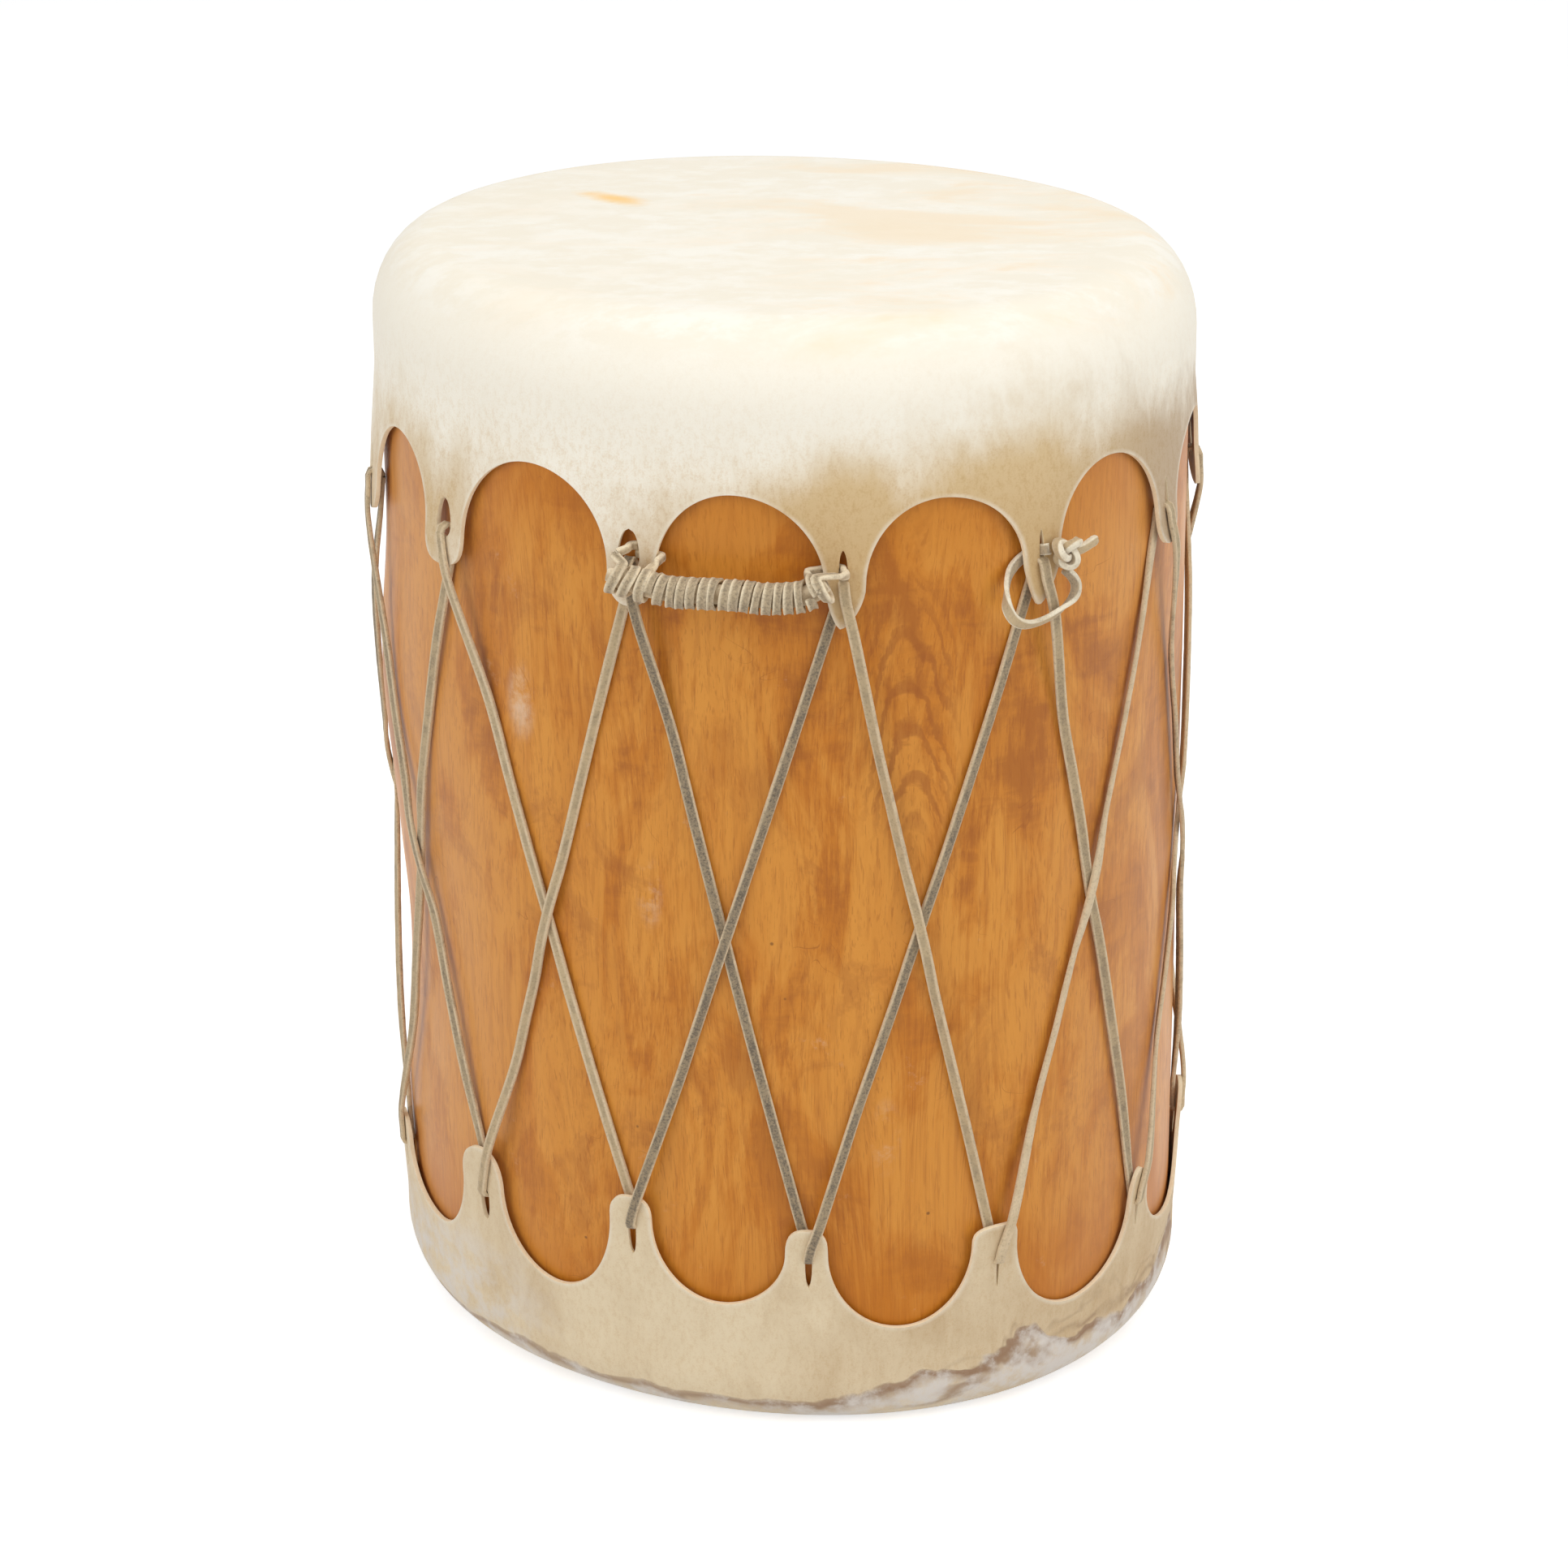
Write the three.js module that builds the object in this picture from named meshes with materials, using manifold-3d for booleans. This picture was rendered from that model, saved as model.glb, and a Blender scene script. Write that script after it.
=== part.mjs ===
// A laced log drum: a hollow wooden shell, two rawhide heads with scalloped skirts, two laces that
// zigzag between the heads, a wound thong handle and a small pull loop. Millimetres, +Z up. The drum
// stands on its lower head at z = 0, the shell's axis is the Z axis and the handle faces -Y.
import * as THREE from 'three';
import { mergeVertices } from 'three/addons/utils/BufferGeometryUtils.js';
import Module from 'manifold-3d';

const wasm = await Module();
wasm.setup();

// Driving dimensions of the drum
const drumHeight = 512;
const topRadius = 170; // mean radius over the skin at the top
const bottomRadius = 177.8; // mean radius over the skin at the bottom
const ovalness = 0.0716; // the long axis is this share over the mean radius
const ovalTurn = 70.7; // degrees from the front towards +X to the long axis
const skinThickness = 2;
const shellWall = 30;
const skinGap = 0.5; // between a head's skin and the shell
const fitGap = 0.4; // between thongs and what they touch
const topRimIn = 28; // width of the rounding of the top rim
const topRimDown = 36; // height of the rounding of the top rim
const bottomRimIn = 20;
const bottomRimUp = 27;

// Driving dimensions of the skirts
const tabCount = 12;
const tabHalfWidth = 9; // at the neck of a tab, above its rounded tip
const tabTipRound = 12; // height of the rounded tip
const topSkirtFlat = 57; // from the top down to where the tabs begin to stand off
const bottomSkirtFlat = 40;
const topFlare = 5; // how far a top tab stands off the shell at its tip
const bottomFlare = 3.8;
const slitFootWidth = 6;
const slitTopWidth = 4.6;
const slitHeight = 15;

// Driving dimensions of the thongs
const laceWidth = 4.7;
const laceThickness = 2;
const laceHug = 70; // from the slit to where a lace first lies on the shell
const crossingFlat = 9.5; // half the length over which one lace lies on the other
const crossingEase = 30; // half the length over which the upper lace is off the shell
const barThongSize = 8.3; // bundle of thongs inside the handle
const wrapWidth = 3.5;
const wrapThickness = 1.8;
const wrapTurns = 15;
const tieThickness = 2.6;
const leftTieZone = 17; // bare length of the bar that the left tie winds round
const rightTieZone = 8;
const leftTieTurns = { from: -20, to: -740 }; // degrees round the bar, from its top to its front
const rightTieTurns = { from: 90, to: -330 };
const tieRise = 7.5; // a tie crosses behind its tab this far above the slit's foot
const knotSize = 1.9; // scale of the pull loop's knot
const knotThongSize = 2.3;

// Counts of faces
const shellColumns = 48;
const rimSteps = 4;
const wrapStepsPerTurn = 14;
const tieStepsPerTurn = 12;

const degrees = Math.PI / 180;
const sides = 8;

// The tabs that face the front were hand cut, so each has its own place. reach is the length from the
// end of the drum to the tip, arch the same to the top of the arch on the tab's right, slit the
// length from the tip back to the slit's foot.
const topTabs = allTabs(118, 68, 13, [
  { angle: -84, reach: 117, arch: 71, slit: 10 },
  { angle: -56.5, reach: 119, arch: 65, slit: 12 },
  { angle: -22.8, reach: 118, arch: 68, slit: 15 },
  { angle: 8.3, reach: 123, arch: 70, slit: 15 },
  { angle: 36.2, reach: 120, arch: 65, slit: 14 },
  { angle: 60.8, reach: 113, arch: 68, slit: 12 },
  { angle: 88.5, reach: 116, arch: 68, slit: 12 },
]);
const bottomTabs = allTabs(104, 56, 13, [
  { angle: -81, reach: 90, arch: 56, slit: 13 },
  { angle: -52.8, reach: 113, arch: 58, slit: 20 },
  { angle: -24.5, reach: 116, arch: 66, slit: 12 },
  { angle: 3, reach: 108, arch: 55, slit: 12 },
  { angle: 31.1, reach: 101, arch: 48, slit: 15 },
  { angle: 57.8, reach: 97, arch: 54, slit: 13 },
  { angle: 85, reach: 98, arch: 56, slit: 13 },
]);
const overLaces = 'bbaaaababbab'; // which lace lies on top at each crossing, from the left

// The two swellings of the log on its left side
const logSwells = [
  { angle: -90, height: 312, spread: 60, length: 78, out: 4.5 },
  { angle: -90, height: 176, spread: 60, length: 80, out: -4 },
];

const topEnd = {
  tabs: topTabs,
  rimIn: topRimIn,
  rimAlong: topRimDown,
  skirtFlat: topSkirtFlat,
  flare: topFlare,
  nominalReach: 118,
  isTop: true,
};
const bottomEnd = {
  tabs: bottomTabs,
  rimIn: bottomRimIn,
  rimAlong: bottomRimUp,
  skirtFlat: bottomSkirtFlat,
  flare: bottomFlare,
  nominalReach: 104,
  isTop: false,
};

// The remaining tabs share the far side of the rim equally
function allTabs(reach, arch, slit, front) {
  const tabs = front.map((tab) => ({ ...tab, angle: tab.angle * degrees }));
  const last = tabs[tabs.length - 1].angle;
  const gap = (tabs[0].angle + 2 * Math.PI - last) / (tabCount + 1 - tabs.length);
  for (let i = 1; tabs.length < tabCount; i += 1) {
    const wander = 3 * Math.sin(2.4 * i);
    tabs.push({ angle: last + gap * i, reach: reach + wander, arch: arch - wander, slit });
  }
  return tabs;
}

// Mean radius of the drum over the skin, tapered and oval
function skinRadius(angle, z) {
  const mean = bottomRadius + ((topRadius - bottomRadius) * z) / drumHeight;
  return mean * (1 + ovalness * Math.cos(2 * (angle - ovalTurn * degrees)));
}

function onDrum(angle, z, out = 0) {
  const radius = skinRadius(angle, z) + out;
  return new THREE.Vector3(radius * Math.sin(angle), -radius * Math.cos(angle), z);
}

// Level direction along the oval skin
function skinAlong(angle, z) {
  const step = degrees;
  return new THREE.Vector3().subVectors(onDrum(angle + step, z), onDrum(angle - step, z)).normalize();
}

function heightAt(end, reach) {
  return end.isTop ? drumHeight - reach : reach;
}

function flareAt(end, reach) {
  return (end.flare * Math.max(0, reach - end.skirtFlat)) / (end.nominalReach - end.skirtFlat);
}

function ease(x) {
  const t = Math.min(1, Math.abs(x));
  return Math.cos((t * Math.PI) / 2) ** 2;
}

function swellAt(angle, z) {
  return logSwells.reduce((sum, swell) => {
    const turn = Math.atan2(Math.sin(angle - swell.angle * degrees), Math.cos(angle - swell.angle * degrees));
    const across = ease(turn / (swell.spread * degrees));
    return sum + swell.out * across * ease((z - swell.height) / swell.length);
  }, 0);
}

// Welded copy of a geometry, without the flat triangles that a point on the axis leaves
function welded(geometry) {
  geometry.deleteAttribute('normal');
  geometry.deleteAttribute('uv');
  const merged = mergeVertices(geometry, 1e-4);
  const index = merged.index.array;
  const kept = [];
  for (let i = 0; i < index.length; i += 3) {
    const [a, b, c] = [index[i], index[i + 1], index[i + 2]];
    if (a !== b && b !== c && c !== a) kept.push(a, b, c);
  }
  merged.setIndex(kept);
  return merged;
}

function toSolid(geometry) {
  const clean = welded(geometry);
  const vertProperties = new Float32Array(clean.attributes.position.array);
  const triVerts = new Uint32Array(clean.index.array);
  return new wasm.Manifold(new wasm.Mesh({ numProp: 3, vertProperties, triVerts }));
}

function toGeometry(solid) {
  const mesh = solid.getMesh();
  const geometry = new THREE.BufferGeometry();
  geometry.setAttribute('position', new THREE.BufferAttribute(mesh.vertProperties, 3));
  geometry.setIndex(new THREE.BufferAttribute(mesh.triVerts, 1));
  return geometry;
}

// A lathe blank whose points are moved to their places on the oval drum
function turned(angles, pointCount, onAxis, place) {
  const profile = [];
  for (let k = 0; k < pointCount; k += 1) profile.push(new THREE.Vector2(1, k));
  if (onAxis) {
    profile[0].x = 0;
    profile[pointCount - 1].x = 0;
  }
  const blank = new THREE.LatheGeometry(profile, angles.length);
  const position = blank.attributes.position;
  for (let i = 0; i <= angles.length; i += 1) {
    for (let k = 0; k < pointCount; k += 1) {
      const point = place(angles[i % angles.length], k);
      position.setXYZ(i * pointCount + k, point.x, point.y, point.z);
    }
  }
  return welded(blank);
}

// Points of a quarter of an ellipse, as insets from the side and depths from the end
function rimCurve(end, inset) {
  const points = [];
  for (let k = 0; k <= rimSteps; k += 1) {
    const turn = (k / rimSteps) * (Math.PI / 2);
    points.push({
      inset: inset + (end.rimIn - inset) * (1 - Math.sin(turn)),
      depth: inset + (end.rimAlong - inset) * (1 - Math.cos(turn)),
    });
  }
  return points;
}

const shellInset = skinThickness + skinGap;

function buildShell() {
  const angles = Array.from({ length: shellColumns }, (_, i) => (i / shellColumns) * 2 * Math.PI);
  const bottomRim = rimCurve(bottomEnd, shellInset).map((p) => ({ inset: p.inset, z: p.depth }));
  const topRim = rimCurve(topEnd, shellInset).map((p) => ({ inset: p.inset, z: drumHeight - p.depth }));
  const sideRows = [100, 176, 244, 278, 312, 350, 392].map((z) => ({ inset: shellInset, z }));
  const bore = [
    { inset: shellWall, z: drumHeight - shellInset },
    { inset: shellWall, z: shellInset },
  ];
  const profile = [...bottomRim, ...sideRows, ...topRim.reverse(), ...bore];
  profile.push(profile[0]);
  return turned(angles, profile.length, false, (angle, k) => {
    const { inset, z } = profile[k];
    const swell = inset === shellInset ? swellAt(angle, z) : 0;
    return onDrum(angle, z, swell - inset);
  });
}

// Angles of the columns of a skirt, and how far the skirt reaches there
function skirtColumns(end) {
  const columns = [];
  end.tabs.forEach((tab, i) => {
    const next = end.tabs[(i + 1) % end.tabs.length];
    const gap = (next.angle - tab.angle + 2 * Math.PI) % (2 * Math.PI);
    const radius = skinRadius(tab.angle + gap / 2, heightAt(end, tab.arch));
    const half = (gap * radius) / 2;
    const foot = 1.35 * tabHalfWidth;
    const offsets = [0, 0.72 * tabHalfWidth, tabHalfWidth, foot, (foot + half) / 2];
    const reachAt = (from, offset) => {
      if (offset <= tabHalfWidth) {
        const round = Math.sqrt(Math.max(0, 1 - (offset / tabHalfWidth) ** 2));
        return from.reach - tabTipRound * (1 - round);
      }
      const across = (half - offset) / (half - tabHalfWidth);
      const neck = from.reach - tabTipRound - tab.arch;
      return tab.arch + neck * (1 - Math.sqrt(1 - across * across));
    };
    offsets.forEach((offset) => {
      columns.push({ angle: tab.angle + offset / radius, reach: reachAt(tab, offset) });
    });
    columns.push({ angle: tab.angle + gap / 2, reach: tab.arch });
    offsets.slice(1).reverse().forEach((offset) => {
      columns.push({ angle: tab.angle + gap - offset / radius, reach: reachAt(next, offset) });
    });
  });
  return columns;
}

function slitCutter(end, tab) {
  const foot = slitFootWidth / 2;
  const top = slitTopWidth / 2;
  const shape = new THREE.Shape();
  shape.moveTo(-foot, 0);
  shape.lineTo(foot, 0);
  shape.lineTo(foot, slitHeight / 3);
  shape.lineTo(top, slitHeight - top);
  shape.lineTo(0, slitHeight);
  shape.lineTo(-top, slitHeight - top);
  shape.lineTo(-foot, slitHeight / 3);
  const depth = 6 * (skinThickness + end.flare);
  const cutter = new THREE.ExtrudeGeometry(shape, { depth, bevelEnabled: false });
  cutter.translate(0, 0, -depth / 2);
  // The shape's +Y points towards the middle of the head's own end
  const toEnd = end.isTop ? 1 : -1;
  const across = new THREE.Vector3(Math.cos(tab.angle), Math.sin(tab.angle), 0).multiplyScalar(toEnd);
  const along = new THREE.Vector3(0, 0, toEnd);
  const outward = new THREE.Vector3().crossVectors(across, along);
  cutter.applyMatrix4(new THREE.Matrix4().makeBasis(across, along, outward));
  const foot3d = onDrum(tab.angle, heightAt(end, tab.reach - tab.slit), flareAt(end, tab.reach - tab.slit));
  cutter.translate(foot3d.x, foot3d.y, foot3d.z);
  return toSolid(cutter);
}

function buildHead(end) {
  const columns = skirtColumns(end);
  const outer = rimCurve(end, 0);
  const inner = rimCurve(end, skinThickness).reverse();
  const last = 2 * rimSteps + 7;
  // From the middle of the playing face out to the rim, down the skirt, and back inside the skin
  const place = (column, k) => {
    if (k === 0) return new THREE.Vector3(0, 0, heightAt(end, 0));
    if (k === last) return new THREE.Vector3(0, 0, heightAt(end, skinThickness));
    if (k <= rimSteps + 1) {
      const point = outer[k - 1];
      return onDrum(column.angle, heightAt(end, point.depth), -point.inset);
    }
    if (k >= rimSteps + 6) {
      const point = inner[k - rimSteps - 6];
      return onDrum(column.angle, heightAt(end, point.depth), -point.inset);
    }
    const isInside = k > rimSteps + 3;
    const isEdge = k === rimSteps + 3 || k === rimSteps + 4;
    const reach = isEdge ? column.reach : end.skirtFlat;
    const out = (isEdge ? flareAt(end, reach) : 0) - (isInside ? skinThickness : 0);
    return onDrum(column.angle, heightAt(end, reach), out);
  };
  // The lathe faces out when its profile climbs, so the top head runs from the inside
  const flip = (k) => (end.isTop ? last - k : k);
  const skin = turned(columns, last + 1, true, (column, k) => place(column, flip(k)));
  const cut = end.tabs.reduce((solid, tab) => solid.subtract(slitCutter(end, tab)), toSolid(skin));
  return toGeometry(cut);
}

function strapSection(width, thickness) {
  const [w, t] = [width / 2, thickness / 2];
  return [[w, t], [-w, t], [-w, -t], [w, -t]];
}

// Flat thong section with bevelled long edges, as width and thickness
function thongSection(width, thickness) {
  const flat = width / 2 - thickness / 3;
  return [
    [width / 2, 0],
    [flat, thickness / 2],
    [-flat, thickness / 2],
    [-width / 2, 0],
    [-flat, -thickness / 2],
    [flat, -thickness / 2],
  ];
}

// Direction of travel, width and thickness at each point of a thong's centre line
function thongFrames(points, widths, isClosed) {
  const count = points.length;
  return points.map((point, i) => {
    const before = isClosed ? points[(i + count - 1) % count] : points[Math.max(0, i - 1)];
    const after = isClosed ? points[(i + 1) % count] : points[Math.min(count - 1, i + 1)];
    const travel = new THREE.Vector3().subVectors(after, before).normalize();
    const width = widths[i].clone().addScaledVector(travel, -widths[i].dot(travel)).normalize();
    return { point, width, thickness: new THREE.Vector3().crossVectors(travel, width) };
  });
}

function sectionPoint(frame, [x, y]) {
  return frame.point.clone().addScaledVector(frame.width, x).addScaledVector(frame.thickness, y);
}

// An open thong: a straight extrusion bent along its frames
function openThong(section, frames) {
  const shape = new THREE.Shape(section.map(([x, y]) => new THREE.Vector2(x, y)));
  const steps = frames.length - 1;
  const strip = new THREE.ExtrudeGeometry(shape, { depth: steps, steps, bevelEnabled: false });
  const position = strip.attributes.position;
  for (let i = 0; i < position.count; i += 1) {
    const frame = frames[Math.round(position.getZ(i))];
    const point = sectionPoint(frame, [position.getX(i), position.getY(i)]);
    position.setXYZ(i, point.x, point.y, point.z);
  }
  return welded(strip);
}

// A closed thong: a torus whose rings are moved to the frames
function closedThong(section, frames) {
  const around = section.length;
  const ring = new THREE.TorusGeometry(2, 1, around, frames.length);
  const position = ring.attributes.position;
  for (let j = 0; j <= around; j += 1) {
    for (let i = 0; i <= frames.length; i += 1) {
      const corner = section[(around - j) % around];
      const point = sectionPoint(frames[i % frames.length], corner);
      position.setXYZ(j * (frames.length + 1) + i, point.x, point.y, point.z);
    }
  }
  return welded(ring);
}

// Centre of a thong that lies on the shell, measured out from the skin's outer face
const onShell = fitGap + laceThickness / 2 - shellInset;

function slitFoot(end, tab) {
  return tab.reach - tab.slit;
}

function inFront(end, reach) {
  return flareAt(end, reach) + fitGap + laceThickness / 2;
}

// The straight run of a lace from one slit to the next, as angle and height
function laceRun(from, to, i) {
  const tab = from.tabs[i];
  const next = to.tabs[(i + 1) % tabCount];
  const z = heightAt(from, slitFoot(from, tab));
  const fall = heightAt(to, slitFoot(to, next)) - z;
  const turn = (next.angle - tab.angle + 2 * Math.PI) % (2 * Math.PI);
  return { angle: tab.angle, turn, z, fall, length: Math.abs(fall) };
}

// Where a run meets the one that crosses it, as a share of its length
function crossShare(run, other) {
  const rise = other.z - run.z;
  const ahead = Math.atan2(Math.sin(other.angle - run.angle), Math.cos(other.angle - run.angle));
  return (other.turn * rise - other.fall * ahead) / (other.turn * run.fall - run.turn * other.fall);
}

// Centre points of a lace and its width there. A lace comes up behind a tab, turns over the slit's
// foot and leaves in front of the tab.
function laceRoute(name) {
  const points = [];
  const widths = [];
  const add = (angle, z, out) => {
    points.push(onDrum(angle, z, out));
    widths.push(skinAlong(angle, z));
  };
  for (let i = 0; i < tabCount; i += 1) {
    const startsAtTop = name === 'a' ? i % 2 === 1 : i % 2 === 0;
    const from = startsAtTop ? topEnd : bottomEnd;
    const to = startsAtTop ? bottomEnd : topEnd;
    const tab = from.tabs[i];
    const next = to.tabs[(i + 1) % tabCount];
    const isUpper = overLaces[i] === name;
    const foot = slitFoot(from, tab);
    const toEnd = from.isTop ? 1 : -1;
    // Over the foot of the slit
    const front = inFront(from, foot);
    const bend = (front - onShell) / 2;
    for (let turn = 0; turn <= 180; turn += 60) {
      const out = onShell + bend * (1 - Math.cos(turn * degrees));
      const rise = 1.5 + bend * Math.sin(turn * degrees);
      add(tab.angle, heightAt(from, foot) + toEnd * rise, out);
    }
    // Down the run to the next tab, which the lace meets from behind
    const run = laceRun(from, to, i);
    const cross = run.length * crossShare(run, laceRun(to, from, i));
    const tip = tab.slit + 2;
    const before = run.length - next.slit - 1;
    const [rise, sink] = [cross - crossingEase, cross + crossingEase];
    const third = (before - sink) / 3;
    const marks = [3, tip, laceHug, (laceHug + rise) / 2, rise, cross - crossingFlat];
    marks.push(cross + crossingFlat, sink, sink + third, before - third, before, run.length - 2);
    marks.forEach((mark) => {
      const share = mark / run.length;
      const angle = run.angle + run.turn * share;
      const z = run.z + run.fall * share;
      const isOver = isUpper && Math.abs(mark - cross) <= crossingFlat + 0.01;
      let out = onShell + (isOver ? laceThickness + fitGap : 0);
      if (mark < laceHug) out = inFront(from, Math.min(foot + mark, tab.reach + 2));
      else out += Math.max(0, swellAt(angle, z - 28), swellAt(angle, z), swellAt(angle, z + 28));
      add(angle, z, out);
    });
  }
  return { points, widths };
}

function buildLace(name) {
  const { points, widths } = laceRoute(name);
  return closedThong(strapSection(laceWidth, laceThickness), thongFrames(points, widths, true));
}

// The handle hangs from two tabs. Its own directions are along the bar, out of the drum and up.
const handleLeftTab = topTabs[2];
const handleRightTab = topTabs[3];

function behindTab(tab, shift) {
  const z = heightAt(topEnd, slitFoot(topEnd, tab)) + tieRise;
  const angle = tab.angle + shift / skinRadius(tab.angle, z);
  return onDrum(angle, z, fitGap + tieThickness / 2 - shellInset);
}

const hingeLeft = behindTab(handleLeftTab, tabHalfWidth / 2);
const hingeRight = behindTab(handleRightTab, -tabHalfWidth / 2);
const hingeSpan = hingeLeft.distanceTo(hingeRight);
const barAlong = new THREE.Vector3().subVectors(hingeRight, hingeLeft).normalize();
const barOut = new THREE.Vector3().crossVectors(barAlong, new THREE.Vector3(0, 0, 1)).normalize();
const barUp = new THREE.Vector3().crossVectors(barOut, barAlong);

function onHandle(along, out, up) {
  const point = hingeLeft.clone().addScaledVector(barAlong, along);
  return point.addScaledVector(barOut, out).addScaledVector(barUp, up);
}

const barCurve = new THREE.CatmullRomCurve3([
  onHandle(-11, 14, -6.7),
  onHandle(12, 16.3, -9.6),
  onHandle(hingeSpan / 2, 17, -7.9),
  onHandle(hingeSpan - 19, 16.3, -7.2),
  onHandle(hingeSpan + 2, 12, -2),
]);
const barLength = barCurve.getLength();
const coreRadius = barThongSize / 2;

// Round section for thongs whose flat side doesn't show
function roundShape(radius) {
  const shape = new THREE.Shape();
  for (let i = 0; i < sides; i += 1) {
    const turn = (i / sides) * 2 * Math.PI;
    const corner = [radius * Math.cos(turn), radius * Math.sin(turn)];
    if (i === 0) shape.moveTo(...corner);
    else shape.lineTo(...corner);
  }
  return shape;
}

function roundTube(curve, radius, steps) {
  return welded(new THREE.ExtrudeGeometry(roundShape(radius), { steps, extrudePath: curve, bevelEnabled: false }));
}

// A point beside the bar, at a length along it and a turn round it, from the top to the front
function besideBar(length, turn, radius) {
  const share = Math.min(1, Math.max(0, length / barLength));
  const centre = barCurve.getPointAt(share);
  const along = barCurve.getTangentAt(share);
  const up = barUp.clone().addScaledVector(along, -barUp.dot(along)).normalize();
  const out = new THREE.Vector3().crossVectors(along, up);
  const point = centre.addScaledVector(up, radius * Math.cos(turn));
  point.addScaledVector(out, radius * Math.sin(turn));
  return { point, along };
}

// The least distance between points of a winding that are more than half a turn apart
function leastSelfGap(frames, section, stepsPerTurn) {
  let least = Infinity;
  const rings = frames.map((frame) => section.map((corner) => sectionPoint(frame, corner)));
  for (let i = 0; i < rings.length; i += 1) {
    for (let j = i + Math.ceil(stepsPerTurn / 2); j < rings.length; j += 1) {
      rings[i].forEach((p) => rings[j].forEach((q) => { least = Math.min(least, p.distanceTo(q)); }));
    }
  }
  return least;
}

const wrapStart = leftTieZone + wrapWidth / 2;
const wrapEnd = barLength - rightTieZone - wrapWidth / 2;

function buildWrap() {
  const steps = wrapTurns * wrapStepsPerTurn;
  const radius = coreRadius + fitGap + wrapThickness / 2;
  const points = [];
  const widths = [];
  for (let i = 0; i <= steps; i += 1) {
    const length = wrapStart + ((wrapEnd - wrapStart) * i) / steps;
    const { point, along } = besideBar(length, -(i / wrapStepsPerTurn) * 2 * Math.PI, radius);
    points.push(point);
    widths.push(along);
  }
  // Each end runs straight for the thickness of the strip
  const runOut = (end, beside) => {
    const step = new THREE.Vector3().subVectors(points[end], points[beside]).setLength(wrapThickness);
    return points[end].clone().add(step);
  };
  const first = runOut(0, 1);
  const last = runOut(steps, steps - 1);
  const line = [first, ...points, last];
  const frames = thongFrames(line, [widths[0], ...widths, widths[steps]], false);
  const section = thongSection(wrapWidth, wrapThickness);
  console.log('least gap between turns of the handle wrap, mm:', leastSelfGap(frames, section, wrapStepsPerTurn).toFixed(2));
  return openThong(section, frames);
}

// Points round the bar, from one length to another
function winding(start, end, turns) {
  const steps = Math.round(Math.abs(turns.to - turns.from) / (360 / tieStepsPerTurn));
  return Array.from({ length: steps + 1 }, (_, i) => {
    const share = i / steps;
    const turn = (turns.from + (turns.to - turns.from) * share) * degrees;
    return besideBar(start + (end - start) * share, turn, coreRadius + fitGap + tieThickness / 2).point;
  });
}

// A point by a tab: across its middle, above the height of the ties and out from the skin's face
function byTab(tab, across, rise, out) {
  const z = heightAt(topEnd, slitFoot(topEnd, tab)) + tieRise;
  return onDrum(tab.angle + across / skinRadius(tab.angle, z), z + rise, out);
}

function tieTube(points, steps) {
  return roundTube(new THREE.CatmullRomCurve3(points, false, 'centripetal'), tieThickness / 2, steps);
}

const behindOut = fitGap + tieThickness / 2 - shellInset;
const besideNeck = tabHalfWidth + 5;

function inFrontOfTab(tab) {
  return flareAt(topEnd, slitFoot(topEnd, tab) - tieRise) + fitGap + tieThickness / 2;
}

// The left tie comes from behind its tab round the tab's right edge, winds round the bar's end and
// goes back through the slit
function buildLeftTie() {
  const tab = handleLeftTab;
  const front = inFrontOfTab(tab);
  return tieTube([
    byTab(tab, 1.8, -1.4, behindOut),
    byTab(tab, tabHalfWidth, -1, behindOut + 0.2),
    byTab(tab, besideNeck, -0.8, 1),
    byTab(tab, besideNeck, -0.8, 4),
    ...winding(leftTieZone - 1.6, 1.6, leftTieTurns),
    byTab(tab, -3.2, 0.6, front + 3.5),
    byTab(tab, 0, 2.2, front),
    byTab(tab, 0, 2.2, behindOut + 1.5),
    byTab(tab, 2.8, 2.4, behindOut),
  ], 48);
}

// The right tie winds once round the bar's end, goes in through the slit and comes round the tab's
// left edge to the back of the bar
function buildRightTie() {
  const tab = handleRightTab;
  const front = inFrontOfTab(tab);
  return tieTube([
    ...winding(barLength - rightTieZone + 1.8, barLength - 1.8, rightTieTurns),
    byTab(tab, 0.6, 2.2, front + 2.4),
    byTab(tab, 0, 2.4, front),
    byTab(tab, 0, 2.4, behindOut + 1.5),
    byTab(tab, -2.8, 2.2, behindOut),
    byTab(tab, -tabHalfWidth, 1.4, behindOut + 0.2),
    byTab(tab, -besideNeck, 1, 1),
    byTab(tab, -besideNeck, 0.4, 4),
  ], 34);
}

// The pull loop hangs from the slit of the next tab. Its points are across the tab, out of the drum
// and up, from behind the slit.
const loopTab = topTabs[4];
const loopHeight = heightAt(topEnd, slitFoot(topEnd, loopTab)) + tieRise + 1.5;
const loopOrigin = onDrum(loopTab.angle, loopHeight, onShell);
const loopAcross = new THREE.Vector3(Math.cos(loopTab.angle), Math.sin(loopTab.angle), 0);
const loopOut = new THREE.Vector3(Math.sin(loopTab.angle), -Math.cos(loopTab.angle), 0);

function onLoop([across, out, up]) {
  const point = loopOrigin.clone().addScaledVector(loopAcross, across);
  return point.addScaledVector(loopOut, out).add(new THREE.Vector3(0, 0, up));
}

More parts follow.
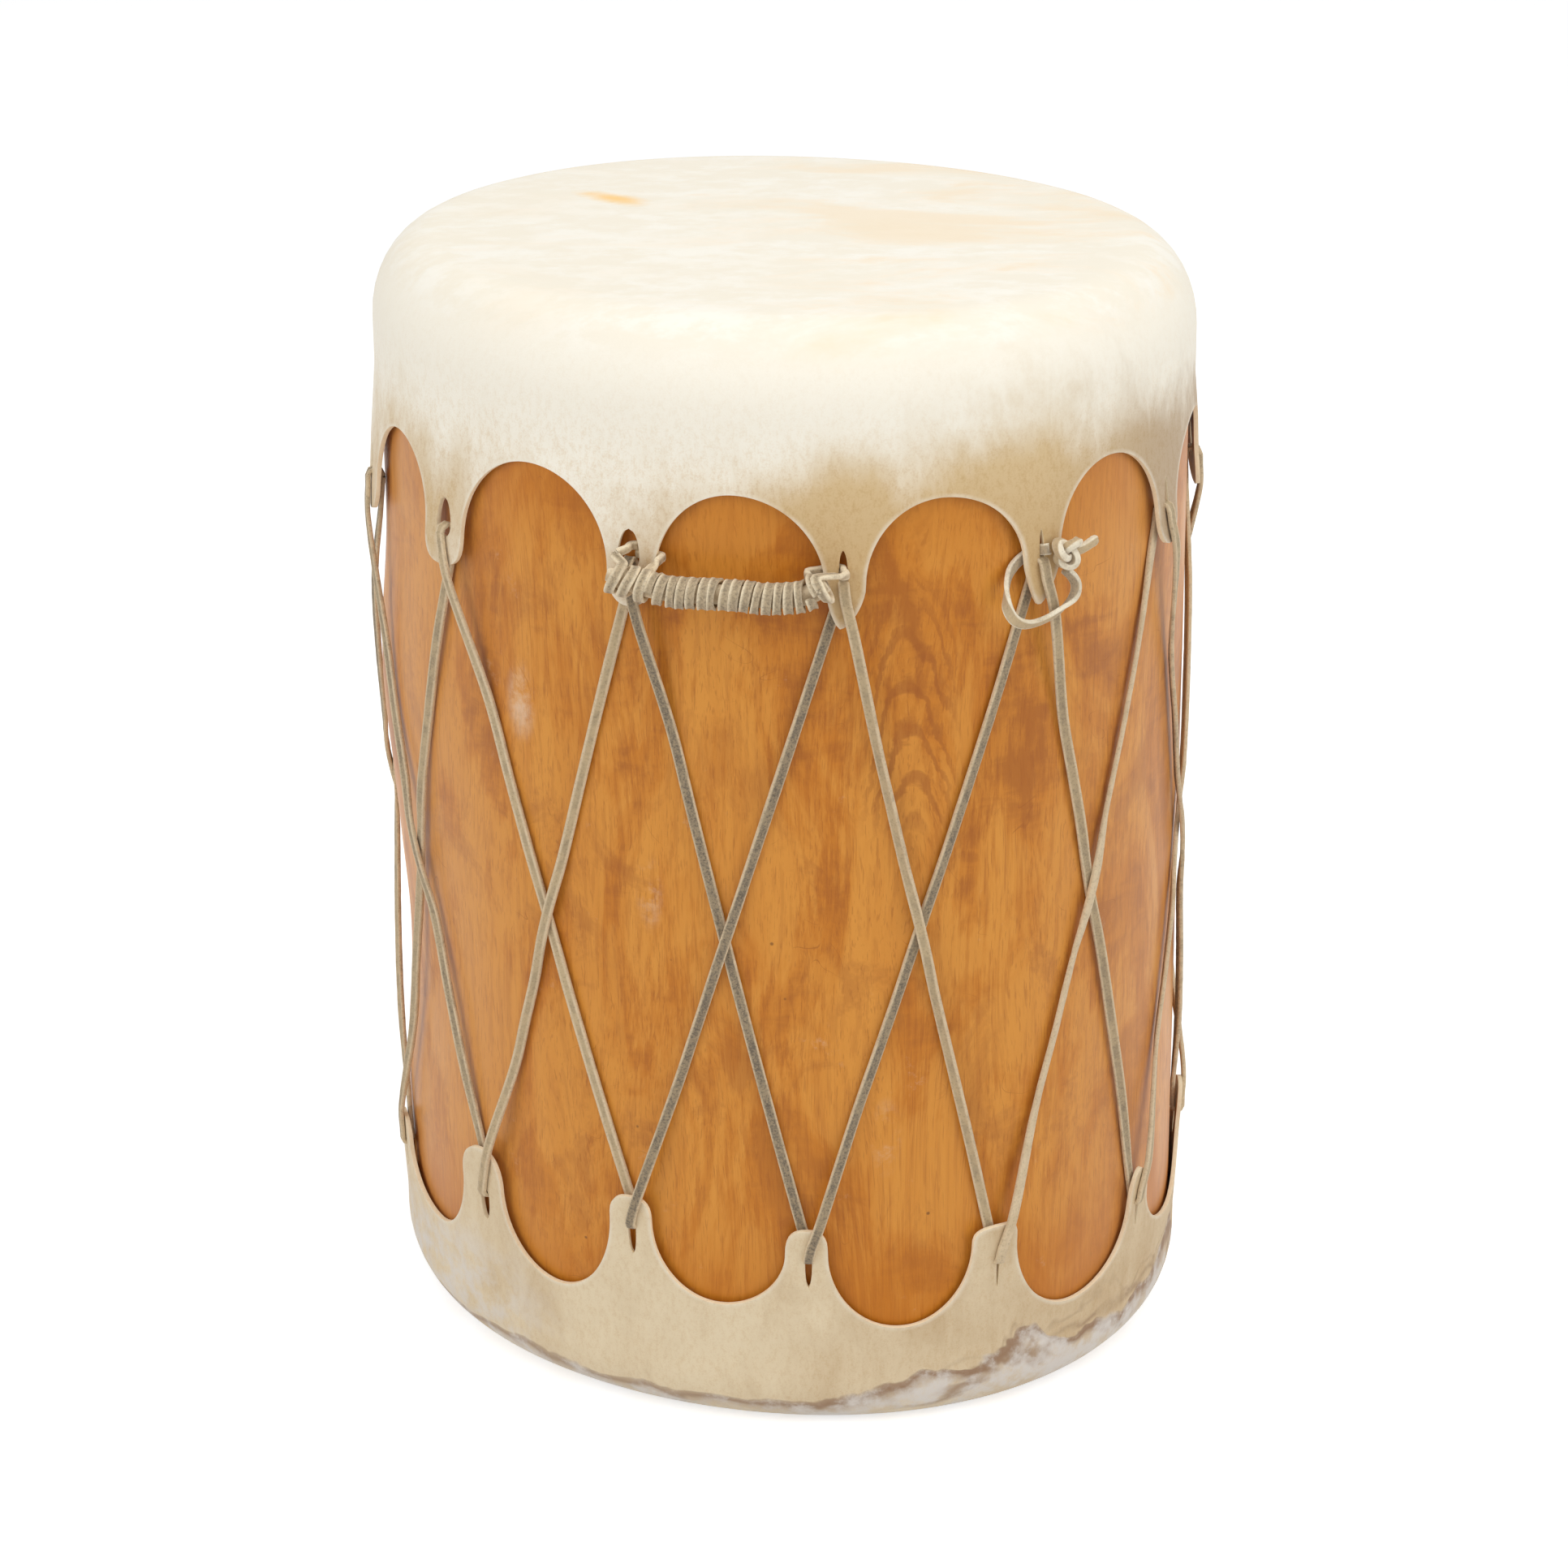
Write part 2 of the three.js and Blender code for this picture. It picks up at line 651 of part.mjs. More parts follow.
// The last number of each point is how far the strap's width has turned from upright to outward
const loopRoute = [
  [1.2, 7.4, 1.6, 0],
  [0.3, 5, 0.8, 0],
  [0, 2.6, 0.2, 0],
  [-1.6, 0.3, -0.6, 0],
  [-5, -0.5, -2.4, 0],
  [-9.5, -1, -5.2, 0],
  [-12.8, -0.6, -8.4, 0.1],
  [-15.8, 1.4, -12, 0.4],
  [-18.4, 4.4, -16, 0.8],
  [-19.8, 7.4, -20.4, 1],
  [-18, 9.4, -24.4, 1],
  [-13.6, 11.2, -26.6, 1],
  [-4.4, 12.3, -26.2, 1],
  [6.2, 12.4, -22.9, 1],
  [11.8, 11.8, -19.2, 1],
  [13.2, 10.9, -15.6, 1],
  [11.4, 10.6, -12, 1],
  [8, 10.3, -8.6, 1],
];

function buildPullLoop() {
  const points = loopRoute.map((p) => onLoop(p));
  const lean = 25 * degrees;
  const outward = loopOut.clone().multiplyScalar(Math.cos(lean)).add(new THREE.Vector3(0, 0, Math.sin(lean)));
  const upright = new THREE.Vector3(0, 0, 1);
  const widths = loopRoute.map((p) => upright.clone().lerp(outward, p[3]));
  return openThong(thongSection(laceWidth, laceThickness), thongFrames(points, widths, false));
}

const knotCentre = [7.8, 11, 0];

// The knot that closes the pull loop, an overhand knot of the same strap
function buildLoopKnot() {
  const steps = 32;
  const points = [];
  for (let i = 0; i < steps; i += 1) {
    const t = (i / steps) * 2 * Math.PI;
    const across = knotSize * (Math.sin(t) + 2 * Math.sin(2 * t));
    const up = knotSize * (Math.cos(t) - 2 * Math.cos(2 * t));
    const out = knotSize * -1.15 * Math.sin(3 * t);
    points.push(onLoop([knotCentre[0] + across, knotCentre[1] + out, knotCentre[2] + up]));
  }
  const widths = points.map(() => loopOut);
  const section = [];
  for (let i = 0; i < 6; i += 1) {
    const turn = (i / 6) * 2 * Math.PI;
    section.push([(knotThongSize / 2) * Math.cos(turn), (knotThongSize / 2) * Math.sin(turn)]);
  }
  return closedThong(section, thongFrames(points, widths, true));
}

const looks = {
  wood: { color: 0xb8702a, roughness: 0.55, metalness: 0 },
  whiteHide: { color: 0xeee3c8, roughness: 0.6, metalness: 0 },
  tanHide: { color: 0xd6c39a, roughness: 0.65, metalness: 0 },
  laceHide: { color: 0xa08b68, roughness: 0.85, metalness: 0 },
  handleHide: { color: 0xa2917a, roughness: 0.85, metalness: 0 },
  paleHide: { color: 0xcdb992, roughness: 0.75, metalness: 0 },
};

const drum = new THREE.Group();

function addPiece(name, geometry, look) {
  geometry.computeVertexNormals();
  const mesh = new THREE.Mesh(geometry, new THREE.MeshStandardMaterial(look));
  mesh.name = name;
  drum.add(mesh);
}

addPiece('shell', buildShell(), looks.wood);
addPiece('top_head', buildHead(topEnd), looks.whiteHide);
addPiece('bottom_head', buildHead(bottomEnd), looks.tanHide);
addPiece('lace_a', buildLace('a'), looks.laceHide);
addPiece('lace_b', buildLace('b'), looks.laceHide);
addPiece('handle_core', roundTube(barCurve, coreRadius, 14), looks.handleHide);
addPiece('handle_wrap', buildWrap(), looks.handleHide);
addPiece('handle_tie_left', buildLeftTie(), looks.handleHide);
addPiece('handle_tie_right', buildRightTie(), looks.handleHide);
addPiece('pull_loop', buildPullLoop(), looks.paleHide);
addPiece('loop_knot', buildLoopKnot(), looks.paleHide);

export default drum;
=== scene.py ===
from math import atan2, cos, exp, hypot, pi, radians, remainder, sin, sqrt
import bpy
import bmesh
from mathutils import Matrix, Vector, noise


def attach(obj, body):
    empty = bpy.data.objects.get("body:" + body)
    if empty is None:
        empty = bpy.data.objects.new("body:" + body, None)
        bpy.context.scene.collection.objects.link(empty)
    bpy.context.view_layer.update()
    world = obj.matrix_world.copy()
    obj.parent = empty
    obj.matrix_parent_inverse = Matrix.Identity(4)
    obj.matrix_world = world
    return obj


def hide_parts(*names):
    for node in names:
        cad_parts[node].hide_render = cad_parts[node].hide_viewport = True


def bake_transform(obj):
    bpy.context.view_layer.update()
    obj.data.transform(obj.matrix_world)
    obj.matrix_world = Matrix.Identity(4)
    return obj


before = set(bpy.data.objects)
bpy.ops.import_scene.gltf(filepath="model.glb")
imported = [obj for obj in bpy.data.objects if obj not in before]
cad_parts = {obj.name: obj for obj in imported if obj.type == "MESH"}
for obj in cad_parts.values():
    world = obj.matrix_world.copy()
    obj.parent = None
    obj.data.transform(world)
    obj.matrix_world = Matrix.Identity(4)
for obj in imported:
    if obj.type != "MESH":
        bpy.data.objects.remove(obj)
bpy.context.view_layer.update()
scene = bpy.context.scene
scene.view_settings.view_transform = "Standard"

# The drum's own sizes, in metres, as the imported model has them
drum = {
    "height": 0.512, "topRadius": 0.170, "bottomRadius": 0.1778, "ovalness": 0.0716, "ovalTurn": radians(70.7),
    "skin": 0.002, "shellInset": 0.0025, "wall": 0.030, "fit": 0.0004, "tabs": 12,
}
laceSize = {"width": 0.0047, "thickness": 0.002, "corner": 0.0006}
onShell = drum["fit"] + laceSize["thickness"] / 2 - drum["shellInset"]
upright = Vector((0, 0, 1))
quarter = pi / 2


def skinRadius(angle, z):
    share = z / drum["height"]
    mean = drum["bottomRadius"] + (drum["topRadius"] - drum["bottomRadius"]) * share
    return mean * (1 + drum["ovalness"] * cos(2 * (angle - drum["ovalTurn"])))


def onDrum(angle, z, out=0.0):
    radius = skinRadius(angle, z) + out
    return Vector((radius * sin(angle), -radius * cos(angle), z))


def skinAlong(angle, z):
    step = radians(1)
    return (onDrum(angle + step, z) - onDrum(angle - step, z)).normalized()


def ease(x):
    return cos(min(1.0, abs(x)) * quarter) ** 2


def smooth(low, high, x):
    t = min(1.0, max(0.0, (x - low) / (high - low)))
    return t * t * (3 - 2 * t)


def wobble(x, y=0.0, z=0.0):
    return noise.noise(Vector((x, y, z)))


# The camera stands where the photograph was taken from
photoView = {
    "place": (0.00005, -1.43335, 0.88124), "down": radians(23.874), "turn": radians(-0.016),
    "roll": radians(-0.418), "lens": 76.87, "sensor": 36,
}


def makeCamera():
    down, turn, roll = (photoView[key] for key in ("down", "turn", "roll"))
    ahead = Vector((sin(turn) * cos(down), cos(turn) * cos(down), -sin(down)))
    level = Vector((cos(turn), -sin(turn), 0))
    upward = level.cross(ahead)
    right = level * cos(roll) + upward * sin(roll)
    up = upward * cos(roll) - level * sin(roll)
    axes = Matrix((right, up, -ahead)).transposed().to_4x4()
    camera = bpy.data.objects.new("camera", bpy.data.cameras.new("camera"))
    camera.data.lens = photoView["lens"]
    camera.data.sensor_width = photoView["sensor"]
    camera.matrix_world = Matrix.Translation(photoView["place"]) @ axes
    scene.collection.objects.link(camera)
    scene.camera = camera


makeCamera()
print("camera made")


# Tabs of the two skins, in degrees and millimetres: angle from the front, length from the drum's end to
# the tip, the same to the arch on the right, tip to slit, slit width, half widths left and right, height
# and power of the tip's rounding, and how far the tip's lowest point is to the right
tabKeys = ("angle", "reach", "arch", "slit", "slitWide", "left", "right", "round", "power", "tip")
tabUnits = {"angle": radians(1), "power": 1}


def tabRow(*values):
    return {key: value * tabUnits.get(key, 0.001) for key, value in zip(tabKeys, values)}


# The hidden tabs go on round the back, each a little different
def allTabs(front, reach, arch, slit):
    rows = [tabRow(*values) for values in front]
    last = rows[-1]["angle"]
    hidden = drum["tabs"] - len(rows)
    gap = (rows[0]["angle"] + 2 * pi - last) / (hidden + 1)
    for index in range(1, hidden + 1):
        wander = 3 * sin(2.4 * index)
        wide = 11 + 1.5 * sin(1.7 * index)
        row = tabRow(0, reach + wander, arch - wander, slit, 3.4, wide, 21 - wide, 13, 2.3, wander / 2)
        rows.append({**row, "angle": last + gap * index})
    return rows


topEnd = {
    "isTop": True, "rimIn": 0.028, "rimAlong": 0.036, "flat": 0.057, "flare": 0.005, "nominal": 0.118,
    "packedFeet": (107, 107, 103, 108, 106, 101, 104),
    "tabs": allTabs([
        (-84, 119, 71, 12, 3.6, 11, 14, 15, 2.4, 1),
        (-56.5, 119.5, 65, 12, 9.0, 13.5, 11, 15, 2.8, -2),
        (-22.8, 118, 68, 15, 9.6, 9.5, 11, 14, 2.2, 0),
        (8.3, 122.4, 70, 15, 4.0, 7, 9, 17, 1.5, -1.5),
        (36.2, 120.5, 65, 14, 2.4, 7.5, 9, 19, 1.35, -2.4),
        (60.8, 114, 68, 12, 3.2, 7, 10, 13, 2.0, 1),
        (88.5, 116, 68, 12, 3.2, 10, 10, 13, 2.4, 0),
    ], 118, 68, 13),
}
bottomEnd = {
    "isTop": False, "rimIn": 0.020, "rimAlong": 0.027, "flat": 0.040, "flare": 0.0038, "nominal": 0.104,
    "packedFeet": (77, 93, 104, 96, 86, 84, 85),
    "tabs": allTabs([
        (-81, 90, 56, 13, 3.6, 11, 10, 13, 2.4, 0),
        (-52.8, 113, 58, 20, 5.6, 15.5, 11, 18, 2.2, 0),
        (-24.5, 115, 66, 12, 3.8, 10.8, 9, 12, 2.7, 0),
        (3, 107.5, 55, 12, 3.2, 10, 8.6, 12, 2.6, -0.6),
        (31.1, 101, 48, 15, 1.4, 12, 9, 9, 3.6, 3),
        (57.8, 98, 54, 13, 2.6, 6, 9, 15, 1.7, 0.5),
        (85, 98, 56, 13, 3.2, 10, 10, 13, 2.4, 0),
    ], 104, 56, 13),
}
topTabs = topEnd["tabs"]


def heightAt(end, reach):
    return drum["height"] - reach if end["isTop"] else reach


def flareAt(end, reach):
    return end["flare"] * max(0.0, reach - end["flat"]) / (end["nominal"] - end["flat"])


# The foot of a tab's slit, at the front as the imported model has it
def footOf(end, i):
    feet, tab = end["packedFeet"], end["tabs"][i]
    return feet[i] / 1000 if i < len(feet) else tab["reach"] - tab["slit"]


logSwells = [
    {"angle": -quarter, "height": 0.312, "spread": radians(60), "length": 0.078, "out": 0.0045},
    {"angle": -quarter, "height": 0.176, "spread": radians(60), "length": 0.080, "out": -0.004},
]


def swellAt(angle, z):
    total = 0.0
    for swell in logSwells:
        turn = remainder(angle - swell["angle"], 2 * pi)
        total += swell["out"] * ease(turn / swell["spread"]) * ease((z - swell["height"]) / swell["length"])
    return total


# Small helpers for bmesh pieces
def toObject(bm, name, material, smoothShade=True):
    mesh = bpy.data.meshes.new(name)
    bm.to_mesh(mesh)
    bm.free()
    mesh.polygons.foreach_set("use_smooth", [smoothShade] * len(mesh.polygons))
    mesh.materials.append(material)
    piece = bpy.data.objects.new(name, mesh)
    scene.collection.objects.link(piece)
    return piece


def joinAndTurnOut(bm, verts):
    bmesh.ops.remove_doubles(bm, verts=verts, dist=1e-6)
    bmesh.ops.recalc_face_normals(bm, faces=bm.faces)


# A flat sheet of faces, whose vertices are then told apart by their column and row
def sheetBlank(columns, rows):
    bm = bmesh.new()
    bmesh.ops.create_grid(bm, x_segments=columns - 1, y_segments=rows - 1, size=1)
    for v in bm.verts:
        v.co = (round((v.co.x + 1) / 2 * (columns - 1)), round((v.co.y + 1) / 2 * (rows - 1)), 0)
    return bm


# A bar of the section's shape along Z, one ring of vertices for each station
def barBlank(section, stations, capped=True):
    around = len(section)
    bm = sheetBlank(around + 1, stations)
    for v in bm.verts:
        x, y = section[round(v.co.x) % around]
        v.co = (x, y, round(v.co.y))
    bmesh.ops.remove_doubles(bm, verts=bm.verts, dist=1e-7)
    if capped:
        bmesh.ops.holes_fill(bm, edges=[e for e in bm.edges if e.is_boundary], sides=0)
    bmesh.ops.recalc_face_normals(bm, faces=bm.faces)
    return bm


# Points round a strap's section, with some across its two faces for the marks and the curled edges
def strapSection(width, thickness, corner, steps=2, across=5):
    points = []
    flat, upper = width / 2 - corner, thickness / 2 - corner
    for cx, cy, start in ((1, 1, 0), (-1, 1, 90), (-1, -1, 180), (1, -1, 270)):
        for step in range(steps + 1):
            turn = radians(start + 90 * step / steps)
            points.append((cx * flat + corner * cos(turn), cy * upper + corner * sin(turn)))
        if start in (0, 180):
            for k in range(1, across + 1):
                points.append((cx * flat * (1 - 2 * k / (across + 1)), cy * thickness / 2))
    return points


def stepsBetween(a, b, step):
    return max(1, round((b - a).length / step))


# Centre line points, close together, through the given ones
def smoothLine(points, step):
    ends = [points[0] * 2 - points[1], *points, points[-1] * 2 - points[-2]]
    line = []
    for i in range(1, len(points)):
        p0, p1, p2, p3 = ends[i - 1:i + 3]
        a, b, c = (max(1e-9, (q - p).length) ** 0.5 for p, q in ((p0, p1), (p1, p2), (p2, p3)))
        m1 = (p2 - p1) + b * ((p1 - p0) / a - (p2 - p0) / (a + b))
        m2 = (p2 - p1) + b * ((p3 - p2) / c - (p3 - p1) / (b + c))
        number = stepsBetween(p1, p2, step)
        for k in range(number):
            t = k / number
            line.append(
                p1 * (2 * t ** 3 - 3 * t * t + 1) + m1 * (t ** 3 - 2 * t * t + t)
                + p2 * (3 * t * t - 2 * t ** 3) + m2 * (t ** 3 - t * t)
            )
    line.append(points[-1].copy())
    return line


def runOf(line):
    run = [0.0]
    for a, b in zip(line, line[1:]):
        run.append(run[-1] + (b - a).length)
    return run


def spread(values, count):
    last = len(values) - 1
    result = []
    for i in range(count):
        place = last * i / (count - 1)
        low = min(last - 1, int(place))
        result.append(values[low] * (1 - place + low) + values[low + 1] * (place - low))
    return result


# Bends a bar blank along a line, of which each station has its place and the direction of the width;
# shapeAt changes the section on the way
def bend(bm, line, widths, shapeAt, closed):
    uv = bm.loops.layers.uv.new("strap")
    count = len(line)
    run = runOf(line)
    frames = []
    for i, point in enumerate(line):
        before = line[(i - 1) % count] if closed else line[max(0, i - 1)]
        after = line[(i + 1) % count] if closed else line[min(count - 1, i + 1)]
        travel = (after - before).normalized()
        width = (widths[i] - travel * widths[i].dot(travel)).normalized()
        frames.append((point, width, travel.cross(width)))
    where = {}
    for v in bm.verts:
        x, y, i = v.co.x, v.co.y, round(v.co.z)
        where[v] = (run[i], x)
        x, y = shapeAt(i, run[i], x, y)
        point, width, up = frames[i]
        v.co = point + width * x + up * y
    for face in bm.faces:
        for loop in face.loops:
            loop[uv].uv = where[loop.vert]


# A strap bent along a line, with the marks that its material reads: which side it is, a tint that may
# change from station to station, and nearness to its long edges or wear
def makeStrap(name, look, line, widths, section, shapeAt, tint=0.0, closed=False, farEdge=1.0, worn=None):
    bm = barBlank(section, len(line), not closed)
    side, tints, edges = [bm.verts.layers.float.new(mark) for mark in ("side", "tint", "edge")]
    wide, thick = (max(abs(point[axis]) for point in section) for axis in (0, 1))
    for v in bm.verts:
        x, y, i = v.co.x, v.co.y, round(v.co.z)
        v[side] = y / thick
        v[tints] = tint[i % len(tint)] if isinstance(tint, list) else tint
        v[edges] = abs(x) / wide * (farEdge if x > 0 else 1) + (worn[i % len(worn)] if worn else 0)
    bend(bm, line, widths, shapeAt, closed)
    if closed:
        joinAndTurnOut(bm, bm.verts)
    return toObject(bm, name, materials[look])


# A value that one of a material's nodes gives, so that the looks below are written as plain sums
class Wire:
    def __init__(self, socket):
        self.socket = socket
        self.tree = socket.id_data

    def __add__(self, other):
        return mathNode("ADD", self, other)

    def __sub__(self, other):
        return mathNode("SUBTRACT", self, other)

    def __mul__(self, other):
        return mathNode("MULTIPLY", self, other)

    def __abs__(self):
        return mathNode("ABSOLUTE", self)


def connect(node, inputs):
    for key, value in inputs.items():
        if isinstance(value, Wire):
            value.tree.links.new(value.socket, node.inputs[key])
        else:
            node.inputs[key].default_value = value


def addNode(tree, kind, inputs, **settings):
    node = tree.nodes.new(kind)
    for key, value in settings.items():
        setattr(node, key, value)
    connect(node, inputs)
    return node


def mathNode(operation, a, b=0.0, clamp=False):
    node = addNode(a.tree, "ShaderNodeMath", {0: a, 1: b}, operation=operation, use_clamp=clamp)
    return Wire(node.outputs[0])


def vectorNode(operation, inputs):
    node = addNode(inputs[0].tree, "ShaderNodeVectorMath", inputs, operation=operation)
    return Wire(node.outputs["Value" if operation == "LENGTH" else "Vector"])


def mixColor(share, a, b, blend="MIX"):
    tree = next(value.tree for value in (share, a, b) if isinstance(value, Wire))
    node = addNode(tree, "ShaderNodeMix", {0: share, 6: a, 7: b}, data_type="RGBA", blend_type=blend)
    return Wire(node.outputs[2])


# Paints laid over a colour one after the other, each by its own share
def layered(color, paints, *layers):
    for share, paint in layers:
        color = mixColor(share, color, paints[paint])
    return color


def ramp(value, low, high, toLow=0.0, toHigh=1.0):
    inputs = dict(enumerate((value, low, high, toLow, toHigh)))
    return Wire(addNode(value.tree, "ShaderNodeMapRange", inputs, interpolation_type="SMOOTHSTEP").outputs[0])


def stretched(place, scale):
    return Wire(addNode(place.tree, "ShaderNodeMapping", {"Vector": place, "Scale": scale}).outputs[0])


def noiseAt(place, scale, detail=3.0, roughness=0.5, distortion=0.0, stretch=None):
    if stretch:
        place = stretched(place, stretch)
    inputs = {"Scale": scale, "Detail": detail, "Roughness": roughness, "Distortion": distortion}
    return Wire(addNode(place.tree, "ShaderNodeTexNoise", {"Vector": place, **inputs}).outputs["Fac"])


def axesOf(vector):
    split = addNode(vector.tree, "ShaderNodeSeparateXYZ", {0: vector})
    return [Wire(split.outputs[axis]) for axis in "XYZ"]


# How far out in an ellipse a place is; its edge is at 1
def inEllipse(place, middle, size, turn=0.0):
    inputs = {"Vector": place, "Location": middle, "Rotation": (0, 0, turn), "Scale": size}
    node = addNode(place.tree, "ShaderNodeMapping", inputs, vector_type="TEXTURE")
    return vectorNode("LENGTH", {0: Wire(node.outputs[0])})


def markOf(tree, name):
    return Wire(addNode(tree, "ShaderNodeAttribute", {}, attribute_name=name).outputs["Fac"])


# Shader groups shared by the materials
def newGroup(name, inputs, outputs):
    group = bpy.data.node_groups.new(name, "ShaderNodeTree")
    kinds = {3: "NodeSocketVector", 4: "NodeSocketColor"}
    for label, value in inputs.items():
        kind = kinds[len(value)] if isinstance(value, tuple) else "NodeSocketFloat"
        socket = group.interface.new_socket(name=label, in_out="INPUT", socket_type=kind)
        socket.default_value = value
    for label in outputs:
        kind = "NodeSocketColor" if label == "Color" else "NodeSocketFloat"
        group.interface.new_socket(name=label, in_out="OUTPUT", socket_type=kind)
    start = group.nodes.new("NodeGroupInput")
    return group, [Wire(start.outputs[label]) for label in inputs], group.nodes.new("NodeGroupOutput")


def useGroup(group, place, **inputs):
    labelled = {"Vector": place, **{key.capitalize(): value for key, value in inputs.items()}}
    node = addNode(place.tree, "ShaderNodeGroup", labelled, node_tree=group)
    return {socket.name: Wire(socket) for socket in node.outputs}


# Fine scraped hide: two colours mixed by a share, under soft speckles and fibres
mottleInputs = {
    "Vector": (0, 0, 0), "Pale": (0.9, 0.85, 0.7, 1), "Tan": (0.7, 0.5, 0.3, 1), "Share": 0.5, "Speckle": 0.3,
}
speckColor = (0.80, 0.66, 0.48, 1)


def makeMottleGroup():
    group, wires, end = newGroup("hideMottle", mottleInputs, ["Color", "Height", "Dryness"])
    place, pale, tan, share, speckle = wires
    clouds = noiseAt(place, 13.0, 5.0, 0.6, 0.5)
    streaks = noiseAt(place, 62.0, 5.0, 0.62, 0.6, (1.0, 1.0, 0.3))
    fibres = noiseAt(place, 430.0, 4.0, 0.7, 0.0, (1.0, 1.0, 0.55))
    grainy = fibres * 0.6 + noiseAt(place, 1300.0, 2.0, 0.6) * 0.4
    color = mixColor(ramp(share + (clouds + streaks * 0.6), 0.95, 1.75), pale, tan)
    darker = mixColor(1.0, color, speckColor, "MULTIPLY")
    connect(end, {
        "Color": mixColor(ramp(grainy, 0.44, 0.66) * speckle, color, darker),
        "Height": streaks * 0.5 + grainy,
        "Dryness": ramp(clouds, 0.3, 0.7),
    })
    return group


# Long fibres of wood, which wander as the grain does
def makeGrainGroup():
    group, wires, end = newGroup("woodGrain", {"Vector": (0, 0, 0), "Warp": 0.02}, ["Bands", "Streaks", "Pores"])
    place, warp = wires
    narrow = stretched(place, (1.0, 1.0, 0.16))
    bent = addNode(group, "ShaderNodeTexNoise", {"Vector": narrow, "Scale": 16.0, "Detail": 3.0})
    shift = vectorNode("SUBTRACT", {0: Wire(bent.outputs["Color"]), 1: (0.5, 0.5, 0.5)})
    moved = vectorNode("ADD", {0: narrow, 1: vectorNode("SCALE", {0: shift, "Scale": warp})})
    connect(end, {
        "Bands": noiseAt(moved, 46.0, 5.0, 0.62, 1.0),
        "Streaks": noiseAt(moved, 420.0, 4.0, 0.65, 0.0, (1.0, 1.0, 0.55)),
        "Pores": noiseAt(moved, 1300.0, 2.0, 0.5, 0.0, (1.0, 1.0, 0.6)),
    })
    return group


# The paler cut edge of a skin: rubbed wear together with a painted highlight
edgeWearAndHighlightInputs = {
    "Vector": (0, 0, 0), "Worn": (0.8, 0.7, 0.5, 1), "Pale": (0.9, 0.85, 0.7, 1), "Edge": 0.0, "Most": 0.4,
}


def makeEdgeWearAndHighlightGroup():
    group, (place, worn, pale, edge, most), end = newGroup("edgeWearAndHighlight", edgeWearAndHighlightInputs, ["Color"])
    uneven = ramp(noiseAt(place, 60.0, 4.0, 0.6), 0.34, 0.60, 0.35, 1.0)
    connect(end, {"Color": mixColor(edge * (uneven * most), worn, pale)})
    return group


mottleGroup = makeMottleGroup()
edgeWearAndHighlightGroup = makeEdgeWearAndHighlightGroup()
grainGroup = makeGrainGroup()


def newMaterial(name, sockets):
    material = bpy.data.materials.new(name)
    material.use_nodes = True
    shader = material.node_tree.nodes["Principled BSDF"]
    connect(shader, sockets)
    return material, shader


def objectPlace(material):
    return Wire(addNode(material.node_tree, "ShaderNodeTexCoord", {}).outputs["Object"])


def addBump(shader, height, strength, distance=0.0004):
    bump = addNode(height.tree, "ShaderNodeBump", {"Strength": strength, "Distance": distance, "Height": height})
    connect(shader, {"Normal": Wire(bump.outputs[0])})


# Along its cut edge a skin is paler: partly rubbed wear, partly a painted highlight where the curled edge catches
# the light
def wornAndHighlitEdge(place, color, pale, most):
    edge = markOf(place.tree, "edge")
    return useGroup(edgeWearAndHighlightGroup, place, worn=color, pale=pale, edge=edge, most=most)["Color"]


topHide = {
    "cream": (0.91, 0.845, 0.71, 1), "white": (0.95, 0.91, 0.81, 1), "peach": (0.92, 0.76, 0.54, 1),
    "skirt": (0.95, 0.895, 0.77, 1), "tan": (0.69, 0.52, 0.285, 1), "tabTan": (0.56, 0.37, 0.165, 1),
    "worn": (0.47, 0.36, 0.25, 1), "stain": (0.98, 0.60, 0.17, 1),
    "stainPlace": (-0.0755, 0.055, 0.512), "stainSize": (0.026, 0.011, 0.02), "stainTurn": radians(-39),
    # middle, half width and strength of the tan patches on the front of the skirt
    "patches": ((0.022, 0.038, 0.52), (0.088, 0.036, 0.34)),
}


